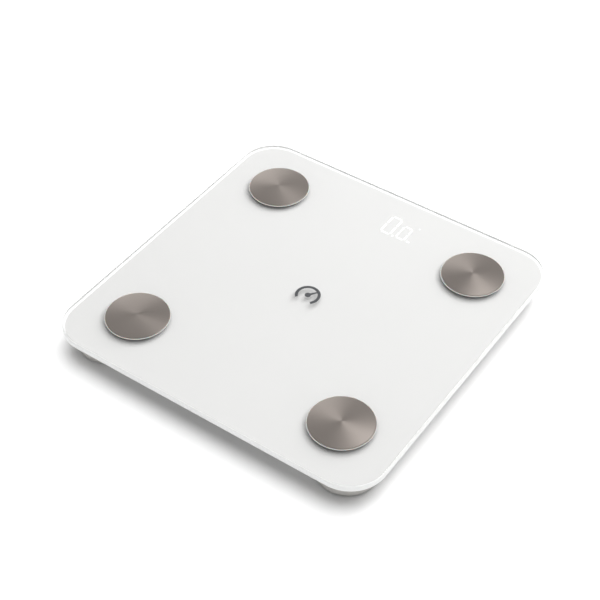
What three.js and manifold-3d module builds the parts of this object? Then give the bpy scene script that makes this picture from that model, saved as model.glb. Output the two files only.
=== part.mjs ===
// A digital bathroom scale of the body-composition type: a square tempered-glass platform on four load cells.
// Millimetres, +Z up. The origin is on the floor under the middle of the platform. The display edge is at +Y,
// and the user stands on the platform facing +Y.
import * as THREE from 'three';
import { mergeVertices } from 'three/addons/utils/BufferGeometryUtils.js';
import Module from 'manifold-3d';

const wasm = await Module();
wasm.setup();

// Platform
const platformWidth = 260;
const platformDepth = 260;
const platformCornerRadius = 27;
const glassThickness = 5;
const glassArris = 0.6;
const printInset = 2;
const printThickness = 0.3;
const emblemRadius = 9.2;
const emblemStroke = 2.2;
const emblemThickness = 0.1;

// Electrodes, one near each corner of the platform
const electrodeInset = 45;
const electrodeRadius = 22.65;
const electrodeRim = 0.8;
const electrodeCrown = 1.2;
const studRadius = 2;
const studHoleGap = 0.4;
const nutAcrossFlats = 7;
const nutHeight = 2;
const lugRadius = 4.2;
const lugThickness = 0.6;

// Feet and load cells, one set in each corner pod
const footInset = 30;
const footRadius = 22;
const footWall = 1.6;
const footFloor = 1.8;
const footRim = 1;
const footEdge = 0.3;
const rubberThickness = 2.2;
const rubberRecess = 1;
const rubberGap = 0.3;
const rubberEdge = 0.6;
const footTravel = 0.4;
const footFloat = 0.5;
const bumpRadius = 4;
const bumpHeight = 4.1;
const cellSize = 30;
const cellThickness = 2;
const cellFrame = 5;
const cellTongueWidth = 9;
const cellCorner = 5;
const pottingSize = 6;
const pottingHeight = 1.8;
const retainerThickness = 1.2;
const retainerHole = 8;
const retainerGap = 0.4;
const tabCount = 3;
const tabReach = 1.2;
const tabWidth = 6;
const tabHeight = 1;

// Base tray
const trayInset = 16;
const trayWall = 2;
const trayFloor = 2;
const trayFloorDrop = 3.2;
const trayCornerRadius = 12;
const podWall = 1.6;
const podGap = 0.4;
const podCeiling = 3;
const podLap = 0.1;
const standoffRadius = 2.5;
const standoffHeight = 2.6;
const pegRadius = 1.2;
const pegGap = 0.3;
const tapeThickness = 0.5;
const nutPocketRadius = 6.5;

// Display and main board
const displayInset = 33;
const displayOffset = 5;
const displayLength = 62;
const displayDepth = 26;
const displayWall = 2;
const diffuserThickness = 0.5;
const diffuserGap = 0.2;
const boardLength = 76;
const boardDepth = 50;
const boardThickness = 1.2;
const bossHeight = 2.6;
const bossRadius = 3;
const screwRadius = 1;
const screwHeadRadius = 2;
const screwHeadHeight = 1.4;
const screwInset = 4;
const screwGap = 0.3;

// Battery bay: three AAA cells side by side, along Y
const batteryRadius = 5.1;
const batteryBody = 43.3;
const batteryNub = 1.2;
const batteryNubRadius = 1.9;
const batterySpace = 0.8;
const batteryOverDoor = 0.1;
const batteryHeadroom = 0.5;
const springRoom = 5.2;
const bayWall = 1.6;
const bayGap = 0.8;
const bayCeiling = 1.2;
const bayToBoard = 13;
const contactThickness = 0.5;
const contactWidth = 9;
const tailWidth = 3;
const tailLift = 2;
const springWire = 0.35;
const springTurns = 3;
const doorBottom = 2.4;
const doorThickness = 1.8;
const doorGap = 0.3;
const doorTabWidth = 6;
const doorTabReach = 1.2;
const doorTabSpread = 9;
const latchWidth = 10;
const latchReach = 1.2;
const latchSlit = 0.8;
const latchLength = 8;

// Unit button and its switch
const buttonInset = 10;
const buttonRadius = 3;
const buttonFlange = 1.2;
const buttonFlangeHeight = 0.85;
const buttonProud = 0.6;
const buttonGap = 0.3;
const buttonTravel = 0.3;
const switchSize = 6;
const switchHeight = 1.3;
const switchRoof = 0.3;
const plungerRadius = 1.6;
const plungerGap = 0.2;

// Leads
const leadRadius = 0.6;
const leadLift = 0.1;
const leadBend = 4;
const clipWall = 1.2;
const clipLength = 5;
const clipHeight = 2.2;
const leadToPod = 2.5;
const leadRun = 6;
const leadRise = 1.5;
const leadOverBoard = 4;

// Levels worked out from the stack, floor to glass
const capRim = rubberThickness - rubberRecess;
const capFloorTop = rubberThickness + footFloor;
const bumpTop = capFloorTop + bumpHeight;
const cellBottom = bumpTop + footFloat;
const cellTop = cellBottom + cellThickness;
const podCeilingZ = cellTop + standoffHeight;
const trayFloorTop = podCeilingZ - trayFloorDrop;
const trayBottom = trayFloorTop - trayFloor;
const batteryCentreZ = doorBottom + doorThickness + batteryOverDoor + batteryRadius;
const bayTop = batteryCentreZ + batteryRadius + batteryHeadroom;
const trayRim = Math.max(podCeilingZ + podCeiling, bayTop + bayCeiling);
const printBottom = trayRim + tapeThickness;
const glassBottom = printBottom + printThickness;
const glassTop = glassBottom + glassThickness;
const boardBottom = trayFloorTop + bossHeight;
const boardTop = boardBottom + boardThickness;
const skirtTop = trayFloorTop + 0.8;
const housingTop = printBottom - diffuserGap - diffuserThickness;
const leadOnFloor = trayFloorTop + leadLift + leadRadius;
const leadOnBoard = boardTop + 0.1 + leadRadius;
const leadInPod = skirtTop + footTravel + 0.2 + leadRadius;
const tailZ = trayFloorTop + tailLift;

// Places worked out in plan
const footX = platformWidth / 2 - footInset;
const footY = platformDepth / 2 - footInset;
const electrodeX = platformWidth / 2 - electrodeInset;
const electrodeY = platformDepth / 2 - electrodeInset;
const displayY = platformDepth / 2 - displayInset;
const boardRear = displayY + displayDepth / 2;
const boardFront = boardRear - boardDepth;
const boardX = displayOffset;
const podRadius = footRadius + podGap + podWall;
const batteryPitch = 2 * batteryRadius + batterySpace;
const bayWidth = 2 * (batteryPitch + batteryRadius + bayGap);
const cellLength = batteryBody + batteryNub;
const bayLength = cellLength + springRoom + 2 * contactThickness + 0.3;
const bayY = boardFront - bayToBoard - bayWall - bayLength / 2;
const buttonX = boardX + boardLength / 2 - buttonInset - switchSize / 2;
const buttonY = boardFront + switchSize;
const electrodeLane = electrodeX - 13;
const cellLane = footX - 9.3;

const corners = [
  { name: 'front_left', sx: -1, sy: -1 },
  { name: 'front_right', sx: 1, sy: -1 },
  { name: 'rear_left', sx: -1, sy: 1 },
  { name: 'rear_right', sx: 1, sy: 1 },
];

function material(colour, roughness, metalness = 0, opacity = 1) {
  return new THREE.MeshStandardMaterial({
    color: colour,
    roughness,
    metalness,
    opacity,
    transparent: opacity < 1,
  });
}

const clearGlass = material('#f4f7f6', 0.05, 0, 0.4);
const whitePrint = material('#f1f2f2', 0.6);
const greyInk = material('#56595c', 0.5);
const satinSteel = material('#a39c97', 0.35, 1);
const platedSteel = material('#c6c8ca', 0.35, 1);
const whiteAbs = material('#e7e8e8', 0.5);
const foamTape = material('#d5d6d4', 0.9);
const nylon = material('#dcdccf', 0.6);
const footGrey = material('#b9bbbc', 0.55);
const rubber = material('#8d8f90', 0.85);
const blueSleeve = material('#3567a8', 0.5);
const whiteSleeve = material('#e8e8e4', 0.5);
const redSleeve = material('#b3262a', 0.5);
const blackSleeve = material('#1c1c1d', 0.5);
const boardGreen = material('#1f5b3c', 0.5);
const chipBlack = material('#202124', 0.45);
const milkyDiffuser = material('#eef1f3', 0.4);
const batteryWrap = material('#3a4654', 0.4);
const buttonGrey = material('#8e9194', 0.5);

// The scale, and a helper that names each piece and puts it in a group
const scale = new THREE.Group();

function piece(name, geometry, finish, group = scale) {
  const mesh = new THREE.Mesh(geometry, finish);
  mesh.name = name;
  group.add(mesh);
  return mesh;
}

function solidOf(geometry) {
  const bare = geometry.clone();
  bare.deleteAttribute('normal');
  bare.deleteAttribute('uv');
  const merged = mergeVertices(bare, 1e-4);
  return new wasm.Manifold(new wasm.Mesh({
    numProp: 3,
    vertProperties: merged.attributes.position.array,
    triVerts: new Uint32Array(merged.index.array),
  }));
}

function geometryOf(solid) {
  const mesh = solid.getMesh();
  const geometry = new THREE.BufferGeometry();
  geometry.setAttribute('position', new THREE.BufferAttribute(mesh.vertProperties, 3));
  geometry.setIndex(new THREE.BufferAttribute(mesh.triVerts, 1));
  geometry.computeVertexNormals();
  return geometry;
}

// Joins the first list of geometries and cuts the second list out of them.
function build(added, removed = []) {
  let solid = solidOf(added[0]);
  for (const geometry of added.slice(1)) {
    solid = solid.add(solidOf(geometry));
  }
  for (const geometry of removed) {
    solid = solid.subtract(solidOf(geometry));
  }
  return geometryOf(solid);
}

function roundedRectangle(width, depth, radius) {
  const x = width / 2 - radius;
  const y = depth / 2 - radius;
  const shape = new THREE.Shape();
  shape.absarc(x, y, radius, 0, Math.PI / 2);
  shape.absarc(-x, y, radius, Math.PI / 2, Math.PI);
  shape.absarc(-x, -y, radius, Math.PI, Math.PI * 1.5);
  shape.absarc(x, -y, radius, Math.PI * 1.5, Math.PI * 2);
  return shape;
}

function slab(shape, bottom, top, arcSteps = 6) {
  const geometry = new THREE.ExtrudeGeometry(shape, {
    depth: top - bottom,
    bevelEnabled: false,
    curveSegments: arcSteps,
  });
  return geometry.translate(0, 0, bottom);
}

function box(width, depth, bottom, top, x = 0, y = 0) {
  const geometry = new THREE.BoxGeometry(width, depth, top - bottom);
  return geometry.translate(x, y, (top + bottom) / 2);
}

// A solid of revolution about Z from [radius, z] pairs
function turned(profile, sides) {
  const points = profile.map(([r, z]) => new THREE.Vector2(r, z));
  return new THREE.LatheGeometry(points, sides).rotateX(Math.PI / 2);
}

function disc(radius, bottom, top, x = 0, y = 0, sides = 16) {
  const profile = [[0, bottom], [radius, bottom], [radius, top], [0, top]];
  return turned(profile, sides).translate(x, y, 0);
}

function ring(inner, outer, bottom, top, sides = 16) {
  return turned([[inner, bottom], [outer, bottom], [outer, top], [inner, top], [inner, bottom]], sides);
}

// A lead's route: straight stretches between its corners, with a bend of two short steps at each corner
class LeadRoute extends THREE.Curve {
  constructor(corners) {
    super();
    const places = corners.map((corner) => new THREE.Vector3(...corner));
    const ways = places.slice(1).map((place, n) => place.clone().sub(places[n]));
    this.points = [places[0]];
    this.tangents = [ways[0].clone().normalize()];
    for (let n = 1; n < places.length - 1; n += 1) {
      const trim = Math.min(leadBend, ways[n - 1].length() * 0.45, ways[n].length() * 0.45);
      const into = ways[n - 1].clone().normalize();
      const out = ways[n].clone().normalize();
      const bend = new THREE.QuadraticBezierCurve3(
        places[n].clone().addScaledVector(into, -trim),
        places[n],
        places[n].clone().addScaledVector(out, trim),
      );
      this.points.push(...bend.getPoints(2));
      this.tangents.push(into, into.clone().add(out).normalize(), out);
    }
    this.points.push(places.at(-1));
    this.tangents.push(ways.at(-1).clone().normalize());
    this.steps = this.points.length - 1;
  }

  getPoint(t, target = new THREE.Vector3()) {
    const n = Math.min(Math.floor(t * this.steps + 1e-6), this.steps - 1);
    return target.lerpVectors(this.points[n], this.points[n + 1], t * this.steps - n);
  }

  getPointAt(u, target) {
    return this.getPoint(u, target);
  }

  getTangentAt(u, target = new THREE.Vector3()) {
    return target.copy(this.tangents[Math.round(u * this.steps)]);
  }
}

// An insulated lead: a six-sided tube along its route
function lead(corners) {
  const section = new THREE.Shape();
  section.absarc(0, 0, leadRadius, 0, Math.PI * 2);
  const route = new LeadRoute(corners);
  return new THREE.ExtrudeGeometry(section, { steps: route.steps, extrudePath: route, curveSegments: 3 });
}

// Each corner's own frame: +X points from the pod to the middle of the scale.
function cornerAngle(corner) {
  return Math.atan2(-corner.sy, -corner.sx);
}

function podPoint(corner, x, y, z) {
  const place = new THREE.Vector3(x, y, z).applyAxisAngle(new THREE.Vector3(0, 0, 1), cornerAngle(corner));
  return [place.x + corner.sx * footX, place.y + corner.sy * footY, z];
}

// Glass platform, its back print and the emblem printed on it
function glassPlatform() {
  const outline = roundedRectangle(platformWidth, platformDepth, platformCornerRadius);
  const plate = new THREE.ExtrudeGeometry(outline, {
    depth: glassThickness - 2 * glassArris,
    bevelThickness: glassArris,
    bevelSize: glassArris,
    bevelOffset: -glassArris,
    bevelSegments: 1,
    curveSegments: 6,
  }).translate(0, 0, glassBottom + glassArris);
  return build([plate], studHoles(glassBottom - 1, glassTop + 1));
}

function studHoles(bottom, top) {
  const radius = studRadius + studHoleGap;
  return corners.map((c) => disc(radius, bottom, top, c.sx * electrodeX, c.sy * electrodeY, 12));
}

function backPrint() {
  const outline = roundedRectangle(
    platformWidth - 2 * printInset,
    platformDepth - 2 * printInset,
    platformCornerRadius - printInset,
  );
  return build([slab(outline, printBottom, glassBottom)], studHoles(printBottom - 1, glassBottom + 1));
}

// A gauge pictogram: an open ring with a needle from its hub
function emblem() {
  const inner = emblemRadius - emblemStroke;
  const shape = new THREE.Shape();
  const start = -Math.PI / 4;
  const end = Math.PI * 1.25;
  shape.absarc(0, 0, emblemRadius, start, end, false);
  shape.absarc(0, 0, inner, end, start, true);
  const needle = new THREE.Shape();
  needle.moveTo(-emblemStroke / 2, 0);
  needle.lineTo(emblemStroke / 2, 0);
  needle.lineTo(emblemStroke / 4, inner + emblemStroke / 2);
  needle.lineTo(-emblemStroke / 4, inner + emblemStroke / 2);
  const top = glassTop + emblemThickness;
  const pointer = slab(needle, glassTop, top).rotateZ(-Math.PI / 5);
  return build([slab(shape, glassTop, top, 14), pointer, disc(emblemStroke, glassTop, top, 0, 0, 10)]);
}

piece('glass_platform', glassPlatform(), clearGlass);
piece('back_print', backPrint(), whitePrint);
piece('dial_emblem', emblem(), greyInk);

// Electrodes: a low spun dome with a stud through the glass, a ring lug, a nut and a lead
function electrode() {
  const rimTop = glassTop + electrodeRim - 0.3;
  const crownEdge = electrodeRadius - 0.5;
  const sphere = (crownEdge ** 2 + electrodeCrown ** 2) / (2 * electrodeCrown);
  const profile = [
    [0, printBottom - nutHeight - lugThickness - 0.5],
    [studRadius, printBottom - nutHeight - lugThickness - 0.5],
    [studRadius, glassTop],
    [electrodeRadius, glassTop],
    [electrodeRadius, rimTop],
  ];
  for (let step = 3; step >= 0; step -= 1) {
    const r = crownEdge * step / 3;
    const rise = Math.sqrt(sphere ** 2 - r ** 2) - (sphere - electrodeCrown);
    profile.push([r, glassTop + electrodeRim + rise]);
  }
  return turned(profile, 24);
}

function electrodeNut() {
  const top = printBottom - lugThickness;
  const nut = disc(nutAcrossFlats / Math.sqrt(3), top - nutHeight, top, 0, 0, 6);
  return build([nut], [disc(studRadius + 0.3, top - nutHeight - 1, top + 1, 0, 0, 12)]);
}

// The last stretch of a lead: along the tray's floor to the board's side, up and onto its pad
function sideEnd(sx, y) {
  const edge = boardX + sx * boardLength / 2;
  return [
    [edge + sx * leadRun, y, leadOnFloor],
    [edge + sx * leadRise, y, leadOnBoard],
    [edge - sx * leadOverBoard, y, leadOnBoard],
  ];
}

// The same at the board's front edge
function frontEnd(x) {
  return [
    [x, boardFront - leadRun, leadOnFloor],
    [x, boardFront - leadRise, leadOnBoard],
    [x, boardFront + leadOverBoard, leadOnBoard],
  ];
}

// The lug and its lead, from the nut along its lane to the board
function electrodeLead(corner) {
  const { sx, sy } = corner;
  const x = sx * electrodeX;
  const y = sy * electrodeY;
  const crimpZ = printBottom - leadRadius - 0.1;
  const points = [[x - sx * 3.4, y - sy * 3.4, crimpZ], [x - sx * 7, y - sy * 7, crimpZ]];
  if (sy < 0) {
    points.push([sx * electrodeLane, y + 15, leadOnFloor]);
    points.push([sx * electrodeLane, boardFront - leadRun, leadOnFloor]);
    points.push(...frontEnd(boardX + sx * (boardLength / 2 - 10)));
  } else {
    points.push([sx * (electrodeLane - 2), y - 6, leadOnFloor]);
    points.push(...sideEnd(sx, y - 6));
  }
  const crimp = box(4, 2.4, printBottom - lugThickness, printBottom, lugRadius + 1.2, 0);
  const lug = build([ring(studRadius + 0.3, lugRadius, printBottom - lugThickness, printBottom, 12), crimp]);
  lug.rotateZ(cornerAngle(corner)).translate(x, y, 0);
  return build([lug, lead(points)]);
}

for (const corner of corners) {
  const at = [corner.sx * electrodeX, corner.sy * electrodeY, 0];
  piece(`electrode_${corner.name}`, electrode(), satinSteel).position.set(...at);
  piece(`electrode_nut_${corner.name}`, electrodeNut(), platedSteel).position.set(...at);
  piece(`electrode_lead_${corner.name}`, electrodeLead(corner), blueSleeve);
}

// Base tray: a shallow tub with a round pod at each corner, the battery bay, bosses and lead clips
function trayOutline(shrink) {
  return roundedRectangle(
    platformWidth - 2 * (trayInset + shrink),
    platformDepth - 2 * (trayInset + shrink),
    trayCornerRadius - shrink,
  );
}

function inPod(corner, geometry) {
  return geometry.rotateZ(cornerAngle(corner)).translate(corner.sx * footX, corner.sy * footY, 0);
}

const standoffReach = cellSize / 2 - 3.5;
const pegPlaces = [[1, 1], [-1, 1], [-1, -1], [1, -1]].map(([x, y]) => {
  return [x * standoffReach, y * standoffReach];
});
const notchAngle = 27 * Math.PI / 180;

function podFittings(corner) {
  const pegBottom = cellBottom - retainerThickness - 0.5;
  return pegPlaces.flatMap(([x, y]) => [
    inPod(corner, disc(standoffRadius, cellTop, podCeilingZ + 0.5, x, y, 8)),
    inPod(corner, disc(pegRadius, pegBottom, cellTop + 0.5, x, y, 6)),
  ]);
}

function leadNotch(corner) {
  const wide = 2 * leadRadius + 1.4;
  const side = -corner.sx;
  const radius = (footRadius + podRadius) / 2;
  const notch = box(podWall + 4, wide, skirtTop + footTravel, trayRim + 1, radius, 0);
  return inPod(corner, notch.rotateZ(side * notchAngle));
}

// Room for the electrode's nut, open towards the middle of the tray
function nutPocket(corner, bottom, top) {
  const middle = [corner.sx * electrodeX, corner.sy * electrodeY];
  const round = disc(nutPocketRadius, bottom, top, ...middle, 12);
  const reach = podRadius;
  const way = box(reach, 2 * nutPocketRadius * Math.cos(Math.PI / 12), bottom, top, reach / 2, 0);
  const slot = way.rotateZ(cornerAngle(corner)).translate(...middle, 0);
  return build([round, slot]);
}

function screwPlaces() {
  const x = boardLength / 2 - screwInset;
  const front = boardFront + screwInset;
  const rear = boardRear - screwInset;
  return [[boardX - x, front], [boardX + x, front], [boardX - x, rear], [boardX + x, rear]];
}

function leadClips() {
  const clips = [];
  const reach = leadRadius + 0.25 + clipWall / 2;
  for (const lane of [electrodeLane, cellLane]) {
    for (const y of [-electrodeY / 2, 0, electrodeY / 3]) {
      for (const x of [-lane - reach, -lane + reach, lane - reach, lane + reach]) {
        clips.push(box(clipWall, clipLength, trayFloorTop - 0.5, trayFloorTop + clipHeight, x, y));
      }
    }
  }
  return clips;
}

function bayCuts() {
  const cuts = [box(bayWidth, bayLength, doorBottom - 1, bayTop, 0, bayY)];
  for (const x of [-doorTabSpread, doorTabSpread]) {
    const y = bayY - bayLength / 2 - doorTabReach / 2;
    cuts.push(box(doorTabWidth + 0.8, doorTabReach + 0.2, doorBottom + 0.5, doorBottom + 2.9, x, y));
  }
  const latchY = bayY + bayLength / 2 + bayWall / 2;
  cuts.push(box(latchWidth + 1.5, bayWall + 2, doorBottom - 1, doorBottom + doorThickness + 0.4, 0, latchY));
  for (const [x, side] of [[-batteryPitch, 1], [batteryPitch, -1]]) {
    const y = bayY + side * (bayLength + bayWall) / 2;
    cuts.push(box(tailWidth + 1, bayWall + 1, tailZ - 0.8, tailZ + 0.8, x, y));
  }
  return cuts;
}

function baseTray() {
  const tubInside = slab(trayOutline(trayWall), trayFloorTop, trayRim + 1);
  const tub = build([slab(trayOutline(0), trayBottom, trayRim)], [tubInside]);
  const bay = box(bayWidth + 2 * bayWall, bayLength + 2 * bayWall, doorBottom, trayRim, 0, bayY);
  const pods = corners.map((c) => {
    return disc(podRadius, trayFloorTop - podLap, trayRim, c.sx * footX, c.sy * footY, 24);
  });
  const wells = corners.map((c) => {
    return disc(footRadius + podGap, trayBottom - 1, podCeilingZ, c.sx * footX, c.sy * footY, 24);
  });
  const pockets = corners.map((c) => nutPocket(c, skirtTop + footTravel, trayRim + 1));
  const bosses = screwPlaces().map(([x, y]) => disc(bossRadius, trayFloorTop - 0.5, boardBottom, x, y, 10));
  const bores = screwPlaces().map(([x, y]) => {
    return disc(screwRadius + screwGap, trayFloorTop + 0.2, boardBottom + 1, x, y, 8);
  });
  const buttonHole = disc(buttonRadius + buttonGap, trayBottom - 1, trayFloorTop + 1, buttonX, buttonY, 16);
  const shell = build([tub, bay, ...pods, ...bosses, ...leadClips()], [
    ...wells,
    ...pockets,
    ...corners.map(leadNotch),
    ...bores,
    ...bayCuts(),
    buttonHole,
  ]);
  return build([shell, ...corners.flatMap(podFittings)]);
}

function bondingTape() {
  const inside = slab(trayOutline(trayWall + 1), trayRim - 1, printBottom + 1);
  const rim = build([slab(trayOutline(0), trayRim, printBottom)], [inside]);
  const pads = corners.map((c) => disc(podRadius, trayRim, printBottom, c.sx * footX, c.sy * footY, 24));
  return build([rim, ...pads], corners.map((c) => nutPocket(c, trayRim - 1, printBottom + 1)));
}

piece('base_tray', baseTray(), whiteAbs);
piece('bonding_tape', bondingTape(), foamTape);

// Load cell: a punched steel E with its tongue in the middle and the gauge under potting
function loadCell() {
  const half = cellSize / 2 - cellFrame;
  const outline = roundedRectangle(cellSize, cellSize, cellCorner);
  const window = box(2 * half, 2 * half, cellBottom - 1, cellTop + 1);
  const frame = build([slab(outline, cellBottom, cellTop, 2)], [window]);
  const tongue = box(half * 1.5 + 1, cellTongueWidth, cellBottom, cellTop, -half / 4 - 0.5, 0);
  const potting = box(pottingSize, pottingSize, cellTop - 0.5, cellTop + pottingHeight, -half / 2, 0);
  const holes = pegPlaces.map(([x, y]) => disc(pegRadius + pegGap, cellBottom - 1, cellTop + 1, x, y, 6));
  return build([frame, tongue, potting], holes);
}

function retainer() {
  const radius = footRadius - footWall - retainerGap;
  const bottom = cellBottom - retainerThickness;
  const holes = pegPlaces.map(([x, y]) => disc(pegRadius + pegGap, bottom - 1, cellBottom + 1, x, y, 6));
  return build([ring(retainerHole, radius, bottom, cellBottom, 20)], holes);
}

// Foot: a cup that slides in the pod; its bump presses the tongue and its tabs hang it on the retainer
function foot() {
  const inner = footRadius - footWall;
  const cup = turned([
    [0, rubberThickness],
    [footRadius - footRim, rubberThickness],
    [footRadius - footRim, capRim],
    [footRadius - footEdge, capRim],
    [footRadius, capRim + footEdge],
    [footRadius, skirtTop],
    [inner, skirtTop],
    [inner, capFloorTop],
    [bumpRadius, capFloorTop],
    [bumpRadius, bumpTop],
    [0, bumpTop],
  ], 24);
  const tabs = [];
  for (let n = 0; n < tabCount; n += 1) {
    const middle = inner - tabReach / 2 + 0.25;
    const tab = box(tabReach + 0.5, tabWidth, cellBottom, cellBottom + tabHeight, middle, 0);
    tabs.push(tab.rotateZ(n * Math.PI * 2 / tabCount));
  }
  return build([cup, ...tabs]);
}

function footPad() {
  const radius = footRadius - footRim - rubberGap;
  return turned([
    [0, 0],
    [radius - rubberEdge, 0],
    [radius, rubberEdge],
    [radius, rubberThickness],
    [0, rubberThickness],
  ], 24);
}

// The load cell's lead: off the potting, out by the pod's notch, along its lane to the side of the board
function cellLead(corner) {
  const { sx, sy } = corner;
  const side = -sx;
  const startX = -(cellSize / 2 - cellFrame) / 2;
  const notch = (radius) => [radius * Math.cos(notchAngle), side * radius * Math.sin(notchAngle)];
  const inside = [
    [startX, side * (pottingSize / 2 + 0.15)],
    [startX, side * (pottingSize / 2 + 2.5)],
    [12, side * 6.6],
    notch(footRadius),
    notch(podRadius + 5),
  ];
  const points = inside.map(([x, y]) => podPoint(corner, x, y, leadInPod));
  if (sy < 0) {
    const turn = footY - podRadius - leadToPod;
    points.push([sx * cellLane, -footY + podRadius + 12, leadOnFloor]);
    points.push([sx * cellLane, turn, leadOnFloor]);
    points.push(...sideEnd(sx, turn));
  } else {
    const along = footY - 9.3;
    points.push([sx * (footX - podRadius - 12), along, leadOnFloor]);
    points.push(...sideEnd(sx, along));
  }
  return lead(points);
}

for (const corner of corners) {
  const pod = new THREE.Group();
  pod.position.set(corner.sx * footX, corner.sy * footY, 0);
  pod.rotation.z = cornerAngle(corner);
  scale.add(pod);
  piece(`load_cell_${corner.name}`, loadCell(), platedSteel, pod);
  piece(`load_cell_retainer_${corner.name}`, retainer(), nylon, pod);
  piece(`foot_${corner.name}`, foot(), footGrey, pod);
  piece(`foot_pad_${corner.name}`, footPad(), rubber, pod);
  piece(`load_cell_lead_${corner.name}`, cellLead(corner), whiteSleeve);
}

// Main board on its four bosses, with the display on top and the chips below
function mainBoard() {
  const plate = slab(roundedRectangle(boardLength, boardDepth, 2), boardBottom, boardTop, 3);
  plate.translate(boardX, (boardFront + boardRear) / 2, 0);
  const holes = screwPlaces().map(([x, y]) => {
    return disc(screwRadius + screwGap, boardBottom - 1, boardTop + 1, x, y, 8);
  });
  return build([plate], holes);
}

function displayHousing() {
  const length = displayLength - 2 * displayWall;
  const depth = displayDepth - 2 * displayWall;
  const block = box(displayLength, displayDepth, boardTop, housingTop, displayOffset, displayY);
  return build([block], [box(length, depth, boardTop + 0.8, housingTop + 1, displayOffset, displayY)]);
}

function boardScrew() {
  const shankBottom = boardBottom - bossHeight + 0.5;
  return turned([
    [0, shankBottom],
    [screwRadius, shankBottom + 0.5],
    [screwRadius, boardTop],
    [screwHeadRadius, boardTop],
    [screwHeadRadius, boardTop + screwHeadHeight * 0.6],
    [screwHeadRadius * 0.5, boardTop + screwHeadHeight],
    [0, boardTop + screwHeadHeight],
  ], 8);
}

piece('main_board', mainBoard(), boardGreen);
piece('display_housing', displayHousing(), whiteAbs);
piece(
  'display_diffuser',
  box(displayLength, displayDepth, housingTop, housingTop + diffuserThickness, displayOffset, displayY),
  milkyDiffuser,
);
piece('microcontroller', box(10, 10, boardBottom - 1.2, boardBottom, boardX, boardFront + 20), chipBlack);
piece('radio_module', box(16, 12, boardBottom - 1.5, boardBottom, boardX - 22, boardFront + 20), platedSteel);
screwPlaces().forEach(([x, y], index) => {
  piece(`board_screw_${index + 1}`, boardScrew(), platedSteel).position.set(x, y, 0);
});

// Battery bay: three cells in series, their contacts and two leads, and the door
class ContactSpiral extends THREE.Curve {
  constructor(side) {
    super();
    this.side = side;
  }

  getPoint(t, target = new THREE.Vector3()) {
    const angle = t * springTurns * Math.PI * 2;
    const radius = 3.3 - 1.1 * t;
    const rise = t * (springRoom - springWire - 0.25);
    return target.set(radius * Math.cos(angle), -this.side * rise, radius * Math.sin(angle));
  }
}

// side is +1 at the bay's rear wall and -1 at its front wall
function contactPlate(side, cellNumbers) {
  const low = Math.min(...cellNumbers) * batteryPitch - contactWidth / 2;
  const high = Math.max(...cellNumbers) * batteryPitch + contactWidth / 2;
  const y = bayY + side * (bayLength - contactThickness) / 2;
  const bottom = batteryCentreZ - contactWidth / 2;
  return box(high - low, contactThickness, bottom, bottom + contactWidth, (low + high) / 2, y);
}

function contactSpring(side, cellNumber) {
  const section = new THREE.Shape();
  section.absarc(0, 0, springWire, 0, Math.PI * 2);
  const coil = new THREE.ExtrudeGeometry(section, {
    steps: springTurns * 8,
    extrudePath: new ContactSpiral(side),
    curveSegments: 3,
  });
  const y = bayY + side * (bayLength / 2 - contactThickness);
  return coil.translate(cellNumber * batteryPitch, y, batteryCentreZ);
}

function contactTail(side, cellNumber) {
  const inner = bayLength / 2 - contactThickness;
  const outer = bayLength / 2 + bayWall + 1.5;
  const y = bayY + side * (inner + outer) / 2;
  return box(tailWidth, outer - inner, tailZ - 0.3, tailZ + 0.3, cellNumber * batteryPitch, y);
}

function battery(pointsRear) {
  const profile = [
    [0, -cellLength / 2],
    [batteryRadius - 0.4, -cellLength / 2],
    [batteryRadius, -cellLength / 2 + 0.4],
    [batteryRadius, cellLength / 2 - batteryNub - 0.4],
    [batteryRadius - 0.4, cellLength / 2 - batteryNub],
    [batteryNubRadius, cellLength / 2 - batteryNub],
    [batteryNubRadius, cellLength / 2],
    [0, cellLength / 2],
  ];
  return turned(profile, 20).rotateX(pointsRear ? -Math.PI / 2 : Math.PI / 2);
}

function batteryDoor() {
  const width = bayWidth - 2 * doorGap;
  const length = bayLength - 2 * doorGap;
  const top = doorBottom + doorThickness;
  const plate = box(width, length, doorBottom, top, 0, bayY);
  const tabs = [-doorTabSpread, doorTabSpread].map((x) => {
    const reach = doorTabReach + 0.5;
    return box(doorTabWidth, reach, doorBottom + 0.8, top, x, bayY - length / 2 + 0.5 - reach / 2);
  });
  const edge = bayY + length / 2;
  const latch = box(latchWidth - 0.2, latchReach + 0.5, doorBottom, top, 0, edge + latchReach / 2 - 0.25);
  const slits = [-1, 1].map((side) => {
    const x = side * (latchWidth + latchSlit) / 2;
    return box(latchSlit, latchLength, doorBottom - 1, top + 1, x, edge - latchLength / 2 + 0.1);
  });
  return build([plate, ...tabs, latch], slits);
}

piece('battery_contact_positive', build([contactPlate(1, [-1]), contactTail(1, -1)]), platedSteel);
piece('battery_contact_front', build([contactPlate(-1, [-1, 0]), contactSpring(-1, -1)]), platedSteel);
piece('battery_contact_rear', build([contactPlate(1, [0, 1]), contactSpring(1, 0)]), platedSteel);
piece(
  'battery_contact_negative',
  build([contactPlate(-1, [1]), contactSpring(-1, 1), contactTail(-1, 1)]),
  platedSteel,
);
[-1, 0, 1].forEach((number, index) => {
  const pointsRear = number !== 0;
  const end = bayLength / 2 - contactThickness - 0.1 - cellLength / 2;
  const cell = piece(`battery_${index + 1}`, battery(pointsRear), batteryWrap);
  cell.position.set(number * batteryPitch, bayY + (pointsRear ? end : -end), batteryCentreZ);
});

function batteryLeadRed() {
  const start = bayY + bayLength / 2 + bayWall + 1.8;
  return lead([
    [-batteryPitch, start, tailZ],
    [-batteryPitch, boardFront - leadRun, tailZ],
    ...frontEnd(-batteryPitch).slice(1),
  ]);
}

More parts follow.
